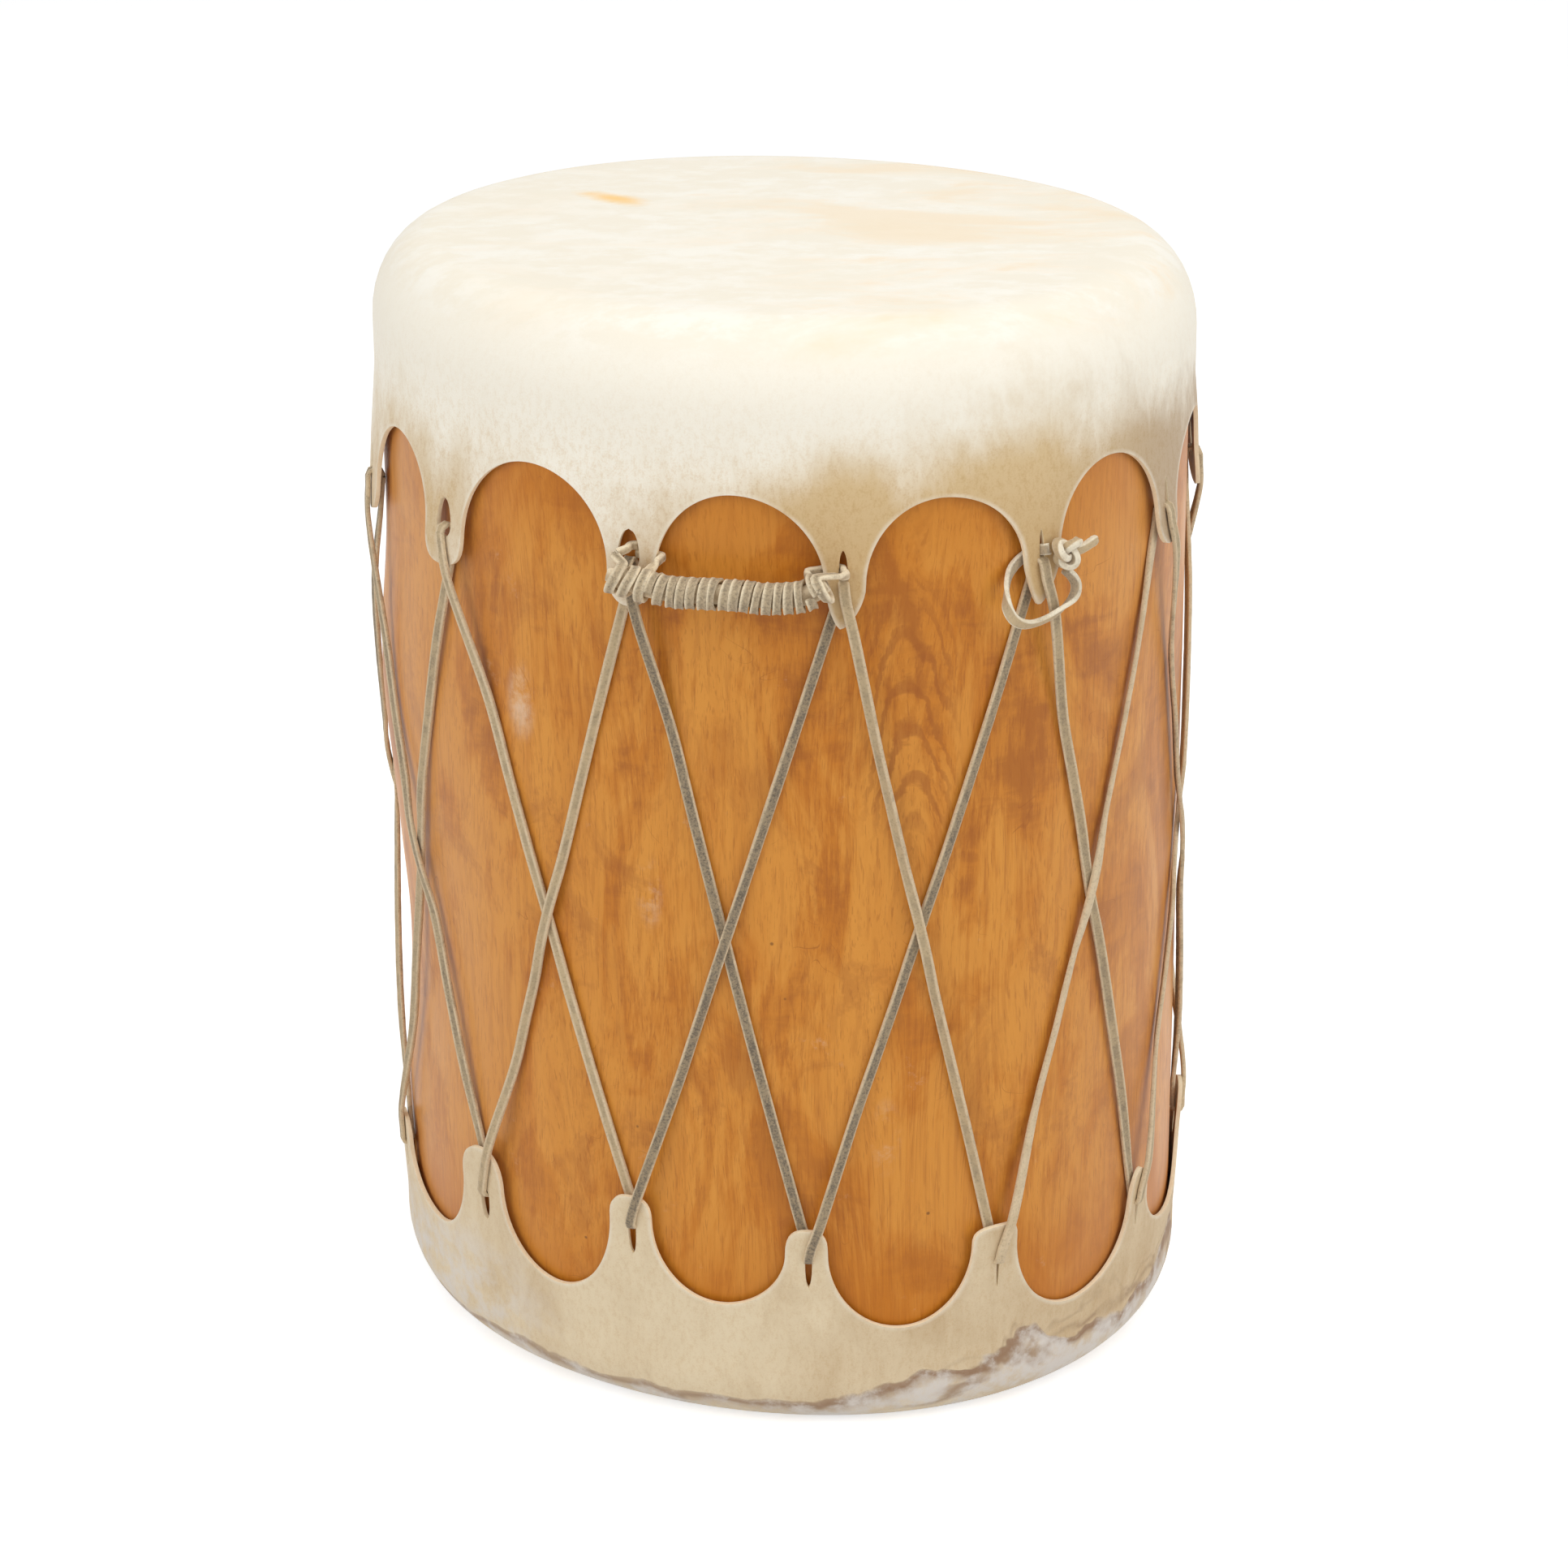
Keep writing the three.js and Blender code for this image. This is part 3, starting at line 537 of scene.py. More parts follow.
def makeTopHide():
    material, shader = newMaterial("topHide", {"Roughness": 0.62})
    place = objectPlace(material)
    x, y, z = axesOf(place)

    # The playing face: scraped white, with peach clouds that are stronger on its right, and one stain
    clouds = noiseAt(place, 17.0, 6.0, 0.62, 0.6, (0.42, 1.0, 1.0))
    brushed = noiseAt(place, 75.0, 6.0, 0.7, 0.0, (0.45, 0.8, 1.0))
    face = mixColor(ramp(brushed, 0.40, 0.62), topHide["cream"], topHide["white"])
    peach = ramp(brushed * 0.5 + clouds, 0.70, 0.92) * ramp(x, -0.08, 0.05, 0.45, 0.95) * 0.75
    away = inEllipse(place, topHide["stainPlace"], topHide["stainSize"], topHide["stainTurn"])
    stain = ramp(brushed * 0.9 + (away - 0.45), 0.95, 0.1, 0.0, 0.85)
    face = layered(face, topHide, (peach, "peach"), (stain, "stain"))

    # The skirt: whitest on the left of the front, tan and brown to the right, tanner down its tabs
    down = ramp(z, 0.492, 0.438)
    onTab = ramp(z, 0.478, 0.405) * ramp(x, -0.13, 0.0, 0.62, 1.0)
    sides = mathNode("MAXIMUM", ramp(x, -0.07, 0.14, 0.0, 0.62), ramp(x, -0.085, -0.16, 0.0, 0.20))
    share = sides * down + (onTab * 0.60 + 0.10)
    for middle, half, most in topHide["patches"]:
        patch = ramp(abs(x - middle), half, 0.0, 0.0, most) * ramp(y, 0.08, -0.08, 0.2, 1.0)
        share = patch * down + share
    blotch = noiseAt(place, 24.0, 7.0, 0.66, 0.4, (1.0, 1.0, 0.6))
    share = (blotch - 0.5) * (sides * 0.8 + 0.35) + share
    tan = mixColor(onTab * 0.8, topHide["tan"], topHide["tabTan"])
    tan = mixColor(ramp(x, 0.10, 0.17, 0.0, 0.8), tan, topHide["worn"])
    hide = useGroup(mottleGroup, place, pale=topHide["skirt"], tan=tan, share=share, speckle=down * 0.42 + 0.10)
    color = mixColor(ramp(z, 0.507, 0.490), face, hide["Color"])
    connect(shader, {
        "Base Color": wornAndHighlitEdge(place, color, topHide["cream"], 0.5),
        "Roughness": ramp(hide["Dryness"], 0, 1, 0.55, 0.72),
    })
    addBump(shader, hide["Height"], 0.35)
    return material


bottomHide = {
    "pale": (0.80, 0.67, 0.46, 1), "tan": (0.56, 0.40, 0.22, 1), "chalk": (0.74, 0.70, 0.66, 1),
    "tide": (0.30, 0.175, 0.095, 1),
    # depth under the chalk's edge, half width, strength, scale of the wander, and where across the front
    # the line starts and how strong it is there
    "tideLines": (
        (0.003, 0.0028, 0.85, 21.0, -0.10, 0.55), (0.010, 0.0046, 0.65, 17.0, 0.03, 0.0),
        (-0.003, 0.0036, 0.34, 25.0, 0.03, 0.0),
    ),
}


# Brown tide lines round the chalky, scuffed rim; they climb and cross each other at the lower right
def makeBottomHide():
    material, shader = newMaterial("bottomHide", {"Roughness": 0.66})
    place = objectPlace(material)
    x, _, z = axesOf(place)
    share = ramp(x, -0.02, 0.14, 0.36, 0.62)
    hide = useGroup(mottleGroup, place, pale=bottomHide["pale"], tan=bottomHide["tan"], share=share, speckle=0.36)

    def wander(scale):
        return noiseAt(place, scale, 3.0, 0.5, 0.8) - 0.5

    toRight = ramp(x, 0.01, 0.10)
    reach = toRight * 0.060 + 0.020
    base = toRight * 0.020 + 0.0155
    scuffed = noiseAt(place, 48.0, 6.0, 0.68)
    fromTide = z - base - wander(21.0) * reach
    dusty = ramp(x, -0.09, -0.155) * ramp(z, 0.085, 0.03) * ramp(scuffed, 0.40, 0.62, 0.0, 0.75)
    chalky = ramp(fromTide, 0.001, -0.003) * ramp(scuffed, 0.36, 0.58, 0.15, 0.85)
    halo = ramp(fromTide, 0.0008, -0.0006) * ramp(fromTide, -0.013, -0.001)
    strength = ramp(x, -0.06, 0.09, 0.55, 0.9) * ramp(scuffed, 0.66, 0.44)
    layers = [(dusty, "chalk"), (chalky, "chalk"), (halo * strength, "tide")]
    for depth, half, most, scale, startsAt, least in bottomHide["tideLines"]:
        line = ramp(abs(z - (wander(scale) * reach + (base - depth))), half, 0.0)
        fade = ramp(x, startsAt, 0.08, least, 1.0) * ramp(scuffed, 0.62, 0.42, 0.3 * most, most)
        layers.append((line * fade, "tide"))
    color = layered(hide["Color"], bottomHide, *layers)
    connect(shader, {"Base Color": wornAndHighlitEdge(place, color, topHide["cream"], 0.4)})
    addBump(shader, hide["Height"], 0.4)
    return material


cutHide = {"pale": (0.93, 0.81, 0.58, 1), "tan": (0.74, 0.55, 0.30, 1)}


def makeCutHide():
    material, shader = newMaterial("cutHide", {"Roughness": 0.7})
    hide = useGroup(mottleGroup, objectPlace(material), **cutHide, share=0.1, speckle=0.3)
    connect(shader, {"Base Color": hide["Color"]})
    addBump(shader, hide["Height"], 0.4)
    return material


wood = {
    "pale": (0.70, 0.292, 0.045, 1), "honey": (0.56, 0.188, 0.017, 1), "brown": (0.335, 0.095, 0.013, 1),
    "archShadeAndDirt": (0.53, 0.160, 0.003, 1), "dust": (0.68, 0.44, 0.27, 1), "dark": (0.07, 0.022, 0.008, 1),
    "rubbed": (0.80, 0.62, 0.45, 1), "figurePlace": (0.052, 0.0, 0.345), "scuffSize": (0.008, 0.03, 0.022),
    "scuffs": ((-0.058, -0.158, 0.262), (-0.112, -0.121, 0.338), (0.043, -0.165, 0.150)),
}


def makeWood():
    material, shader = newMaterial("honeyWood", {
        "Roughness": 0.45, "Coat Weight": 0.08, "Coat Roughness": 0.3, "Specular IOR Level": 0.22,
    })
    place = objectPlace(material)
    x, _, z = axesOf(place)
    grain = useGroup(grainGroup, place, warp=0.045)
    fibre = grain["Streaks"]

    # Golden and brown patches with flamed edges, over slower bands that follow the grain
    wide = noiseAt(place, 19.0, 6.0, 0.58, 1.1, (1.0, 1.0, 0.42))
    curly = noiseAt(place, 30.0, 5.0, 0.6, 0.8, (1.0, 1.0, 2.6))
    patches = fibre * 0.18 + wide
    bands = fibre * 0.20 + grain["Bands"]
    tone = ramp(patches, 0.53, 0.65) * 0.65 + ramp(bands, 0.44, 0.78) * 0.35
    dark = ramp(curly * 0.35 + patches, 0.78, 0.94) * ramp(z, 0.12, 0.30, 0.34, 0.62)
    smudge = ramp(noiseAt(place, 26.0, 7.0, 0.68, 0.5, (1.0, 1.0, 0.75)), 0.54, 0.66, 0.0, 0.34)
    glow = ramp(noiseAt(place, 38.0, 5.0, 0.6, 0.7, (1.0, 1.0, 0.35)), 0.56, 0.68, 0.0, 0.55)

    # The growth rings show as a few nested arches beside the handle
    offX, offY, offZ = axesOf(vectorNode("SUBTRACT", {0: place, 1: wood["figurePlace"]}))
    bent = wide * 0.028 + offX - 0.014
    arch = curly * 0.018 + (bent * bent * 130.0 + offZ)
    near = ramp(abs(offX), 0.026, 0.010) * ramp(abs(offZ), 0.064, 0.030) * ramp(offY, 0.0, -0.1)
    rings = ramp(mathNode("SINE", arch * 300.0), 0.1, 0.9, 0.0, 0.55) * near

    # Painted shade, with some dirt: the wood is darker amber under the arches of the skins; the far sides are
    # paler and dustier
    ends = mathNode("MAXIMUM", ramp(z, 0.385, 0.445), ramp(z, 0.115, 0.060))
    sides = ramp(abs(x), 0.095, 0.165, 0.0, 0.17)
    worn = noiseAt(place, 30.0, 8.0, 0.74)
    scuff = ramp(sides * 0.12 + worn, 0.62, 0.74)
    rubbed = [
        ramp(inEllipse(place, middle, wood["scuffSize"]), 1.0, 0.2) * ramp(worn, 0.42, 0.64, 0.0, 0.65)
        for middle in wood["scuffs"]
    ]

    # Pits and scratches
    pits = addNode(place.tree, "ShaderNodeTexVoronoi", {"Vector": place, "Scale": 46.0})
    chance = axesOf(Wire(pits.outputs["Color"]))[0]
    pit = ramp(Wire(pits.outputs["Distance"]), 0.05, 0.02) * ramp(chance, 0.66, 0.72, 0.0, 0.6)
    thin = ramp(abs(noiseAt(place, 21.0, 1.0, 0.4, 1.6) - 0.5), 0.0022, 0.0006)
    scratch = thin * ramp(noiseAt(place, 47.0, 2.0), 0.56, 0.66)
    color = layered(
        mixColor(tone, wood["pale"], wood["honey"]), wood,
        (dark, "brown"), (smudge, "brown"), (glow, "pale"), (rings, "brown"),
        (ramp(fibre, 0.48, 0.62) * 0.20, "brown"), (ramp(grain["Pores"], 0.57, 0.68) * 0.36, "brown"),
        # the darker amber share near the ends is painted shade under the arches, with some dirt
        (ends * 0.45, "archShadeAndDirt"), (sides, "dust"), (scuff * 0.5, "dust"),
        *((share, "rubbed") for share in rubbed), (pit, "dark"), (scratch * 0.5, "brown"),
    )
    connect(shader, {"Base Color": color, "Roughness": scuff * 0.25 + ramp(wide, 0.3, 0.7, 0.36, 0.48)})
    addBump(shader, fibre * 0.6 + wide * 2.0 - pit, 0.25, 0.0008)
    return material


# Hide cut in strips: its grain side, flesh side and the grey of that, its rubbed edge, how much grime
# there is, and where across the strap the rubbed edge starts
thongs = {
    "laceHide": {
        "grain": (0.57, 0.43, 0.25, 1), "flesh": (0.38, 0.29, 0.175, 1), "grey": (0.17, 0.135, 0.095, 1),
        "edge": (0.76, 0.60, 0.39, 1), "grime": 0.45, "edgeFrom": 0.50,
    },
    "handleHide": {
        "grain": (0.68, 0.53, 0.34, 1), "flesh": (0.52, 0.40, 0.25, 1), "grey": (0.32, 0.25, 0.16, 1),
        "edge": (0.93, 0.79, 0.56, 1), "grime": 0.42, "edgeFrom": 0.15,
    },
    "paleHide": {
        "grain": (0.60, 0.45, 0.26, 1), "flesh": (0.50, 0.385, 0.24, 1), "grey": (0.38, 0.30, 0.21, 1),
        "edge": (0.94, 0.85, 0.66, 1), "grime": 0.34, "edgeFrom": 0.62,
    },
}
grimeColor = (0.42, 0.38, 0.34, 1)


# Fibres and specks on the flesh side, a smoother grain side, paler cut edges; a high tint turns the
# flesh side outwards
def makeThongHide(name):
    look = thongs[name]
    material, shader = newMaterial(name, {"Roughness": 0.85, "Sheen Weight": 0.12, "Sheen Roughness": 0.5})
    place = objectPlace(material)
    side, tint, edge = (markOf(place.tree, mark) for mark in ("side", "tint", "edge"))
    speck = noiseAt(place, 950.0, 4.0, 0.75)
    cloud = noiseAt(place, 130.0, 5.0, 0.62)
    drift = noiseAt(place, 22.0, 3.0, 0.6)
    isFlesh = ramp(side - (drift * 0.8 + (tint - 0.4)), 0.45, -0.45)
    grainSide = mixColor(ramp(cloud, 0.40, 0.66, 0.0, 0.7), look["grain"], look["flesh"])
    fleshSide = mixColor(ramp(cloud * 0.5 + speck, 0.56, 0.92), look["flesh"], look["grey"])
    rubbed = ramp(edge, look["edgeFrom"], 0.95) * ramp(cloud, 0.36, 0.56, 0.55, 0.95)
    color = mixColor(rubbed, mixColor(isFlesh, grainSide, fleshSide), look["edge"])
    grimy = mixColor(1.0, color, grimeColor, "MULTIPLY")
    connect(shader, {"Base Color": mixColor(ramp(speck, 0.50, 0.68) * look["grime"], color, grimy)})
    addBump(shader, speck * 1.3 + cloud, 0.7, 0.0005)
    return material


materials = {
    "topHide": makeTopHide(), "bottomHide": makeBottomHide(), "cutHide": makeCutHide(), "wood": makeWood(),
    **{name: makeThongHide(name) for name in thongs},
}
print("materials made")


# The pull loop is the only free thong: a short strap through the slit of a front tab. In millimetres,
# its points are across the tab, out of the drum and up from behind the slit, and then tell how far the
# strap's width has turned from upright to outward.
pullLoop = {
    "tab": 4, "rise": 0.009, "lean": radians(52), "step": 0.0012,
    "width": 0.0047, "thickness": 0.0021, "corner": 0.0006, "lip": 0.00025,
    "route": [
        (1.2, 7.4, 1.6, 0), (0.3, 5, 0.8, 0), (0, 2.6, 0.2, 0), (-1.6, 0.3, -0.6, 0), (-5, -0.5, -2.4, 0),
        (-9.5, -1, -5.2, 0), (-12.8, -0.6, -8.4, 0.1), (-15.8, 1.4, -12, 0.4), (-18.4, 4.4, -16, 0.8),
        (-19.8, 7.4, -20.4, 1), (-18, 9.4, -24.4, 1), (-13.6, 11.2, -26.6, 1), (-4.4, 12.3, -26.2, 1),
        (6.2, 12.4, -22.9, 1), (11.8, 11.8, -19.2, 1), (13.2, 10.9, -15.6, 1), (11.4, 10.6, -12, 1),
        (8, 10.3, -8.6, 1),
    ],
    "middle": (-3, 0, -16), "knot": (7.8, 11, 0), "knotSize": 2.0, "knotSteps": 96,
    "knotThong": (0.004, 0.0032, 0.0008),
    "stub": [(10.8, 11.5, -0.5), (14.8, 11.9, 0.1), (19.3, 11.7, 1.3), (23.3, 10.9, 2.1)],
    "stubStep": 0.0008, "stubThong": (0.0039, 0.0031, 0.0009),
}
loopTab = topTabs[pullLoop["tab"]]
loopFoot = heightAt(topEnd, loopTab["reach"] - loopTab["slit"]) - 0.0005
loopOrigin = onDrum(loopTab["angle"], loopFoot + pullLoop["rise"], onShell)
loopAcross = Vector((cos(loopTab["angle"]), sin(loopTab["angle"]), 0))
loopOut = Vector((sin(loopTab["angle"]), -cos(loopTab["angle"]), 0))


def onLoop(across, out, up):
    return loopOrigin + (loopAcross * across + loopOut * out + upright * up) / 1000


def makePullLoop():
    line = smoothLine([onLoop(*place) for *place, _ in pullLoop["route"]], pullLoop["step"])
    turns = spread([turn for *_, turn in pullLoop["route"]], len(line))
    middle = onLoop(*pullLoop["middle"])
    widths = []
    for i, (point, turn) in enumerate(zip(line, turns)):
        inward = middle - point
        inward = (inward - loopOut * inward.dot(loopOut)).normalized()
        # The outer face shows below the front edge, and the inner face at the upper right
        lean = pullLoop["lean"] * (1 - 1.6 * smooth(0.72, 0.92, i / len(line)))
        widths.append(upright.lerp(loopOut * cos(lean) + inward * sin(lean), turn))

    # The long edges are a little raised, as on a strip cut from damp hide
    def shapeAt(i, run, x, y):
        lip = pullLoop["lip"] * (abs(x) / (pullLoop["width"] / 2)) ** 3
        return x * (1 + 0.05 * wobble(run * 90, 0, 7)), y + lip + 0.00012 * wobble(run * 160, x * 300, 3)

    section = strapSection(pullLoop["width"], pullLoop["thickness"], pullLoop["corner"])
    return makeStrap("pullLoopThong", "paleHide", line, widths, section, shapeAt), line


def makeLoopKnot():
    size = pullLoop["knotSize"]
    centre = pullLoop["knot"]
    line = []
    for i in range(pullLoop["knotSteps"] + 1):
        t = 2 * pi * i / pullLoop["knotSteps"]
        across = size * (sin(t) + 2 * sin(2 * t))
        up = size * (cos(t) - 2 * cos(2 * t))
        out = size * -1.15 * sin(3 * t)
        line.append(onLoop(centre[0] + across, centre[1] + out, centre[2] + up))

    def shapeAt(i, run, x, y):
        crease = 1 + 0.10 * wobble(run * 260, x * 500, 1)
        return x * crease, y * crease

    section = strapSection(*pullLoop["knotThong"])
    return makeStrap("loopKnot", "paleHide", line, [loopOut] * len(line), section, shapeAt, closed=True)


# The cut end of the thong, which sticks out of the knot to the right
def makeKnotStub():
    line = smoothLine([onLoop(*place) for place in pullLoop["stub"]], pullLoop["stubStep"])
    last = len(line) - 1

    def shapeAt(i, run, x, y):
        flare = 1 + 0.12 * wobble(run * 200, x * 900, 5)
        chewed = flare * (1 - 0.25 * smooth(last - 2, last, i) * (0.5 + wobble(x * 1500, y * 1500, 2)))
        return x * chewed, y * chewed

    section = strapSection(*pullLoop["stubThong"])
    return makeStrap("knotStub", "paleHide", line, [upright] * len(line), section, shapeAt)


loopStrap, loopLine = makePullLoop()
loopLength = runOf(loopLine)[-1]
loopKnot = makeLoopKnot()
knotStub = makeKnotStub()
for piece, node in ((loopStrap, "pull_loop"), (loopKnot, "loop_knot"), (knotStub, "loop_knot")):
    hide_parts(node)
    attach(piece, "drum")
print("pull loop made,", round(loopLength * 1000), "mm long")


# A skin: columns of points down the drum, close together where the cut edge bends, and rows that keep
# together at the slits
skirt = {
    "columns": 70, "samples": 900, "faceRings": 9, "rimSteps": 10, "wallSteps": 3,
    "aboveSlit": 9, "alongSlit": 15, "belowSlit": 7, "slitHeight": 0.0175, "slitWidest": 0.3,
    "slitFade": 0.009, "paleEdge": 0.0022, "palest": 0.0003, "bevel": 0.0005,
}


# How long the skin is beside a tab: rounded at its tip, and then up the side to the arch
def sideReach(tab, offset, half, arch):
    if -tab["left"] < offset < tab["right"]:
        aside = offset - tab["tip"]
        part = abs(aside) / (tab["right"] - tab["tip"] if aside > 0 else tab["tip"] + tab["left"])
        bulge = (1 - min(1.0, part) ** tab["power"]) ** (1 / tab["power"])
        return tab["reach"] - tab["round"] * (1 - bulge)
    halfTab = tab["right"] if offset > 0 else tab["left"]
    across = max(0.0, (half - abs(offset)) / (half - halfTab))
    return arch + (tab["reach"] - tab["round"] - arch) * (1 - sqrt(max(0.0, 1 - across * across)))


def skirtColumns(end):
    columns = []
    tabs = end["tabs"]
    for i, tab in enumerate(tabs):
        after = tabs[(i + 1) % len(tabs)]
        gap = (after["angle"] - tab["angle"]) % (2 * pi)
        radius = skinRadius(tab["angle"] + gap / 2, heightAt(end, tab["arch"]))
        half = gap * radius / 2
        step = 2 * half / skirt["samples"]
        offsets = [step * k for k in range(skirt["samples"] + 1)]
        nearest = [(tab, offset) if offset <= half else (after, offset - 2 * half) for offset in offsets]
        reaches = [sideReach(near, beside, half, tab["arch"]) for near, beside in nearest]
        run = [0.0]
        for a, b in zip(reaches, reaches[1:]):
            run.append(run[-1] + hypot(step, 0.75 * (b - a)) + 0.4 * step)
        at = 0
        for c in range(skirt["columns"]):
            goal = run[-1] * c / skirt["columns"]
            while run[at + 1] < goal:
                at += 1
            part = (goal - run[at]) / (run[at + 1] - run[at])
            offset = offsets[at] + step * part
            near, beside = (tab, offset) if offset <= half else (after, offset - 2 * half)
            columns.append({
                "angle": tab["angle"] + offset / radius, "radius": radius, "tab": near, "beside": beside,
                "reach": reaches[at] * (1 - part) + reaches[at + 1] * part,
                "share": min(1.0, abs(beside) / half), "isCentre": c == 0,
            })
    return columns


# The rows of one column, each a share or a length from the drum's end
def skinRows(end, column):
    tab, flat = column["tab"], end["flat"]
    rings, rimSteps, wallSteps = skirt["faceRings"], skirt["rimSteps"], skirt["wallSteps"]
    above, along, below = skirt["aboveSlit"], skirt["alongSlit"], skirt["belowSlit"]
    foot = tab["reach"] - tab["slit"] - flat
    keep = 1 - smooth(0.3, 0.9, column["share"])
    footShare = 0.8 + (foot / (tab["reach"] - flat) - 0.8) * keep
    topShare = 0.52 + ((foot - skirt["slitHeight"]) / (tab["reach"] - flat) - 0.52) * keep
    return [
        *(("face", (k / rings) ** 0.8) for k in range(rings)),
        *(("rim", k / rimSteps * quarter) for k in range(rimSteps + 1)),
        *(("wall", end["rimAlong"] + (flat - end["rimAlong"]) * k / wallSteps) for k in range(1, wallSteps)),
        *(("skirt", topShare * k / above) for k in range(above)),
        *(("skirt", topShare + (footShare - topShare) * k / along) for k in range(along)),
        *(("skirt", footShare + (1 - footShare) * k / below) for k in range(below + 1)),
    ]


def slitOpening(tab, reach):
    t = (tab["reach"] - tab["slit"] - reach) / skirt["slitHeight"]
    if t < -0.02 or t > 1:
        return 0.0
    widest = skirt["slitWidest"]
    fromWidest = (widest - t) / widest if t < widest else (t - widest) / (1 - widest)
    return tab["slitWide"] * sqrt(max(0.0, 1 - min(1.0, fromWidest) ** 2))


def nearLine(point, a, b):
    along = b - a
    share = min(1.0, max(0.0, (point - a).dot(along) / along.length_squared))
    return (point - a - along * share).length


def facePlace(end, angle, share):
    radius = skinRadius(angle, heightAt(end, 0)) - end["rimIn"]
    point = onDrum(angle, heightAt(end, 0), radius * share - radius - end["rimIn"])
    if end["isTop"]:
        point.z += 0.0004 * wobble(*(point * 9)) * (1 - share ** 4)
    return point


# The skin below the rim stands off more and more, and a slit's two sides are drawn apart
def skirtPlace(end, column, reach, lean):
    beside = column["beside"]
    side = lean if lean else (1 if beside > 0 else -1 if beside < 0 else 0)
    fade = max(0.0, 1 - abs(beside) / skirt["slitFade"]) ** 1.6
    shift = side * slitOpening(column["tab"], reach) / 2 * fade / column["radius"]
    angle, z = column["angle"], heightAt(end, reach)
    loose = 0.0005 * smooth(end["flat"], end["nominal"], reach)
    out = flareAt(end, reach) + loose * wobble(sin(angle) * 2.2, cos(angle) * 2.2, z * 22)
    return onDrum(angle + shift, z, out)


def makeSkin(end, name, material):
    # The sheet is joined in the middle of an arch
    columns = skirtColumns(end)
    columns = columns[skirt["columns"] // 2:] + columns[:skirt["columns"] // 2]
    count = len(columns)
    rows = [skinRows(end, column) for column in columns]
    bm = sheetBlank(count + 1, len(rows[0]))
    firstSlit = skirt["faceRings"] + skirt["rimSteps"] + skirt["wallSteps"] + skirt["aboveSlit"]
    lastSlit = firstSlit + skirt["alongSlit"]
    cut = []
    for edge in bm.edges:
        (c, k), (d, m) = ((round(v.co.x), round(v.co.y)) for v in edge.verts)
        if c == d and 0 < c < count and columns[c]["isCentre"] and firstSlit <= min(k, m) < lastSlit:
            cut.append(edge)
    bmesh.ops.split_edges(bm, edges=cut)
    edgeMark = bm.verts.layers.float.new("edge")
    cutLine = [onDrum(c["angle"], heightAt(end, c["reach"]), flareAt(end, c["reach"])) for c in columns]
    where = {}
    for v in bm.verts:
        c, k = round(v.co.x), round(v.co.y)
        lean = 0
        if 0 < c < count and columns[c]["isCentre"] and firstSlit < k < lastSlit and v.is_boundary:
            middle = sum((f.calc_center_median() for f in v.link_faces), Vector()) / len(v.link_faces)
            lean = 1 if middle.x > c else -1
        where[v] = (c % count, k, lean)
    for v, (c, k, lean) in where.items():
        column = columns[c]
        kind, value = rows[c][k]
        if kind == "face":
            v.co = facePlace(end, column["angle"], value)
            continue
        if kind == "rim":
            z = heightAt(end, end["rimAlong"] * (1 - cos(value)))
            v.co = onDrum(column["angle"], z, end["rimIn"] * (sin(value) - 1))
            continue
        reach = value if kind == "wall" else end["flat"] + (column["reach"] - end["flat"]) * value
        v.co = skirtPlace(end, column, reach, lean)
        near = [cutLine[(c + shift) % count] for shift in range(-8, 9)]
        fromCut = min(nearLine(v.co, a, b) for a, b in zip(near, near[1:]))
        v[edgeMark] = smooth(skirt["paleEdge"], skirt["palest"], fromCut)
    joinAndTurnOut(bm, [v for v, (c, k, lean) in where.items() if c == 0 or k == 0])
    piece = toObject(bm, name, material)
    piece.data.materials.append(materials["cutHide"])
    wall = piece.modifiers.new("thickness", "SOLIDIFY")
    wall.thickness = drum["skin"]
    wall.offset = -1
    wall.use_even_offset = True
    wall.material_offset_rim = 1
    edge = piece.modifiers.new("softEdge", "BEVEL")
    edge.width = skirt["bevel"]
    edge.segments = 2
    edge.limit_method = "ANGLE"
    edge.angle_limit = radians(50)
    edge.use_clamp_overlap = True
    return piece


heads = [
    (makeSkin(topEnd, "topSkin", materials["topHide"]), "top_head", "white_rawhide"),
    (makeSkin(bottomEnd, "bottomSkin", materials["bottomHide"]), "bottom_head", "tan_rawhide"),
]
for piece, node, slotName in heads:
    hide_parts(node)
    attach(piece, "drum")
print("skins made")


# The hollowed log
log = {"columns": 192, "sideRows": 70, "rimSteps": 8, "boreRows": 12, "toolMark": 0.0005}


def rimRow(end, k):
    inset, turn = drum["shellInset"], k / log["rimSteps"] * quarter
    along = inset + (end["rimAlong"] - inset) * (1 - cos(turn))
    return inset + (end["rimIn"] - inset) * (1 - sin(turn)), heightAt(end, along), 0.0


def makeLog():
    inset, high = drum["shellInset"], drum["height"]
    low, side = bottomEnd["rimAlong"], high - topEnd["rimAlong"] - bottomEnd["rimAlong"]
    sideRows, boreRows, rimSteps = log["sideRows"], log["boreRows"], log["rimSteps"]
    rows = [
        *(rimRow(bottomEnd, k) for k in range(rimSteps + 1)),
        *((inset, low + side * k / sideRows, 1.0) for k in range(1, sideRows)),
        *(rimRow(topEnd, k) for k in range(rimSteps, -1, -1)),
        *((drum["wall"], high - inset - (high - 2 * inset) * k / boreRows, 0.0) for k in range(boreRows + 1)),
    ]
    bm = sheetBlank(log["columns"] + 1, len(rows) + 1)
    for v in bm.verts:
        angle = 2 * pi * (round(v.co.x) % log["columns"]) / log["columns"]
        inward, z, free = rows[round(v.co.y) % len(rows)]
        # Long flats left by the drawknife
        tool = log["toolMark"] * abs(wobble(sin(angle) * 6, cos(angle) * 6, z * 4))
        v.co = onDrum(angle, z, free * (swellAt(angle, z) - tool) - inward)
    joinAndTurnOut(bm, [v for v in bm.verts if v.is_boundary])
    return toObject(bm, "hollowLog", materials["wood"])


logPiece = makeLog()
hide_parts("shell")
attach(logPiece, "drum")
print("log made")


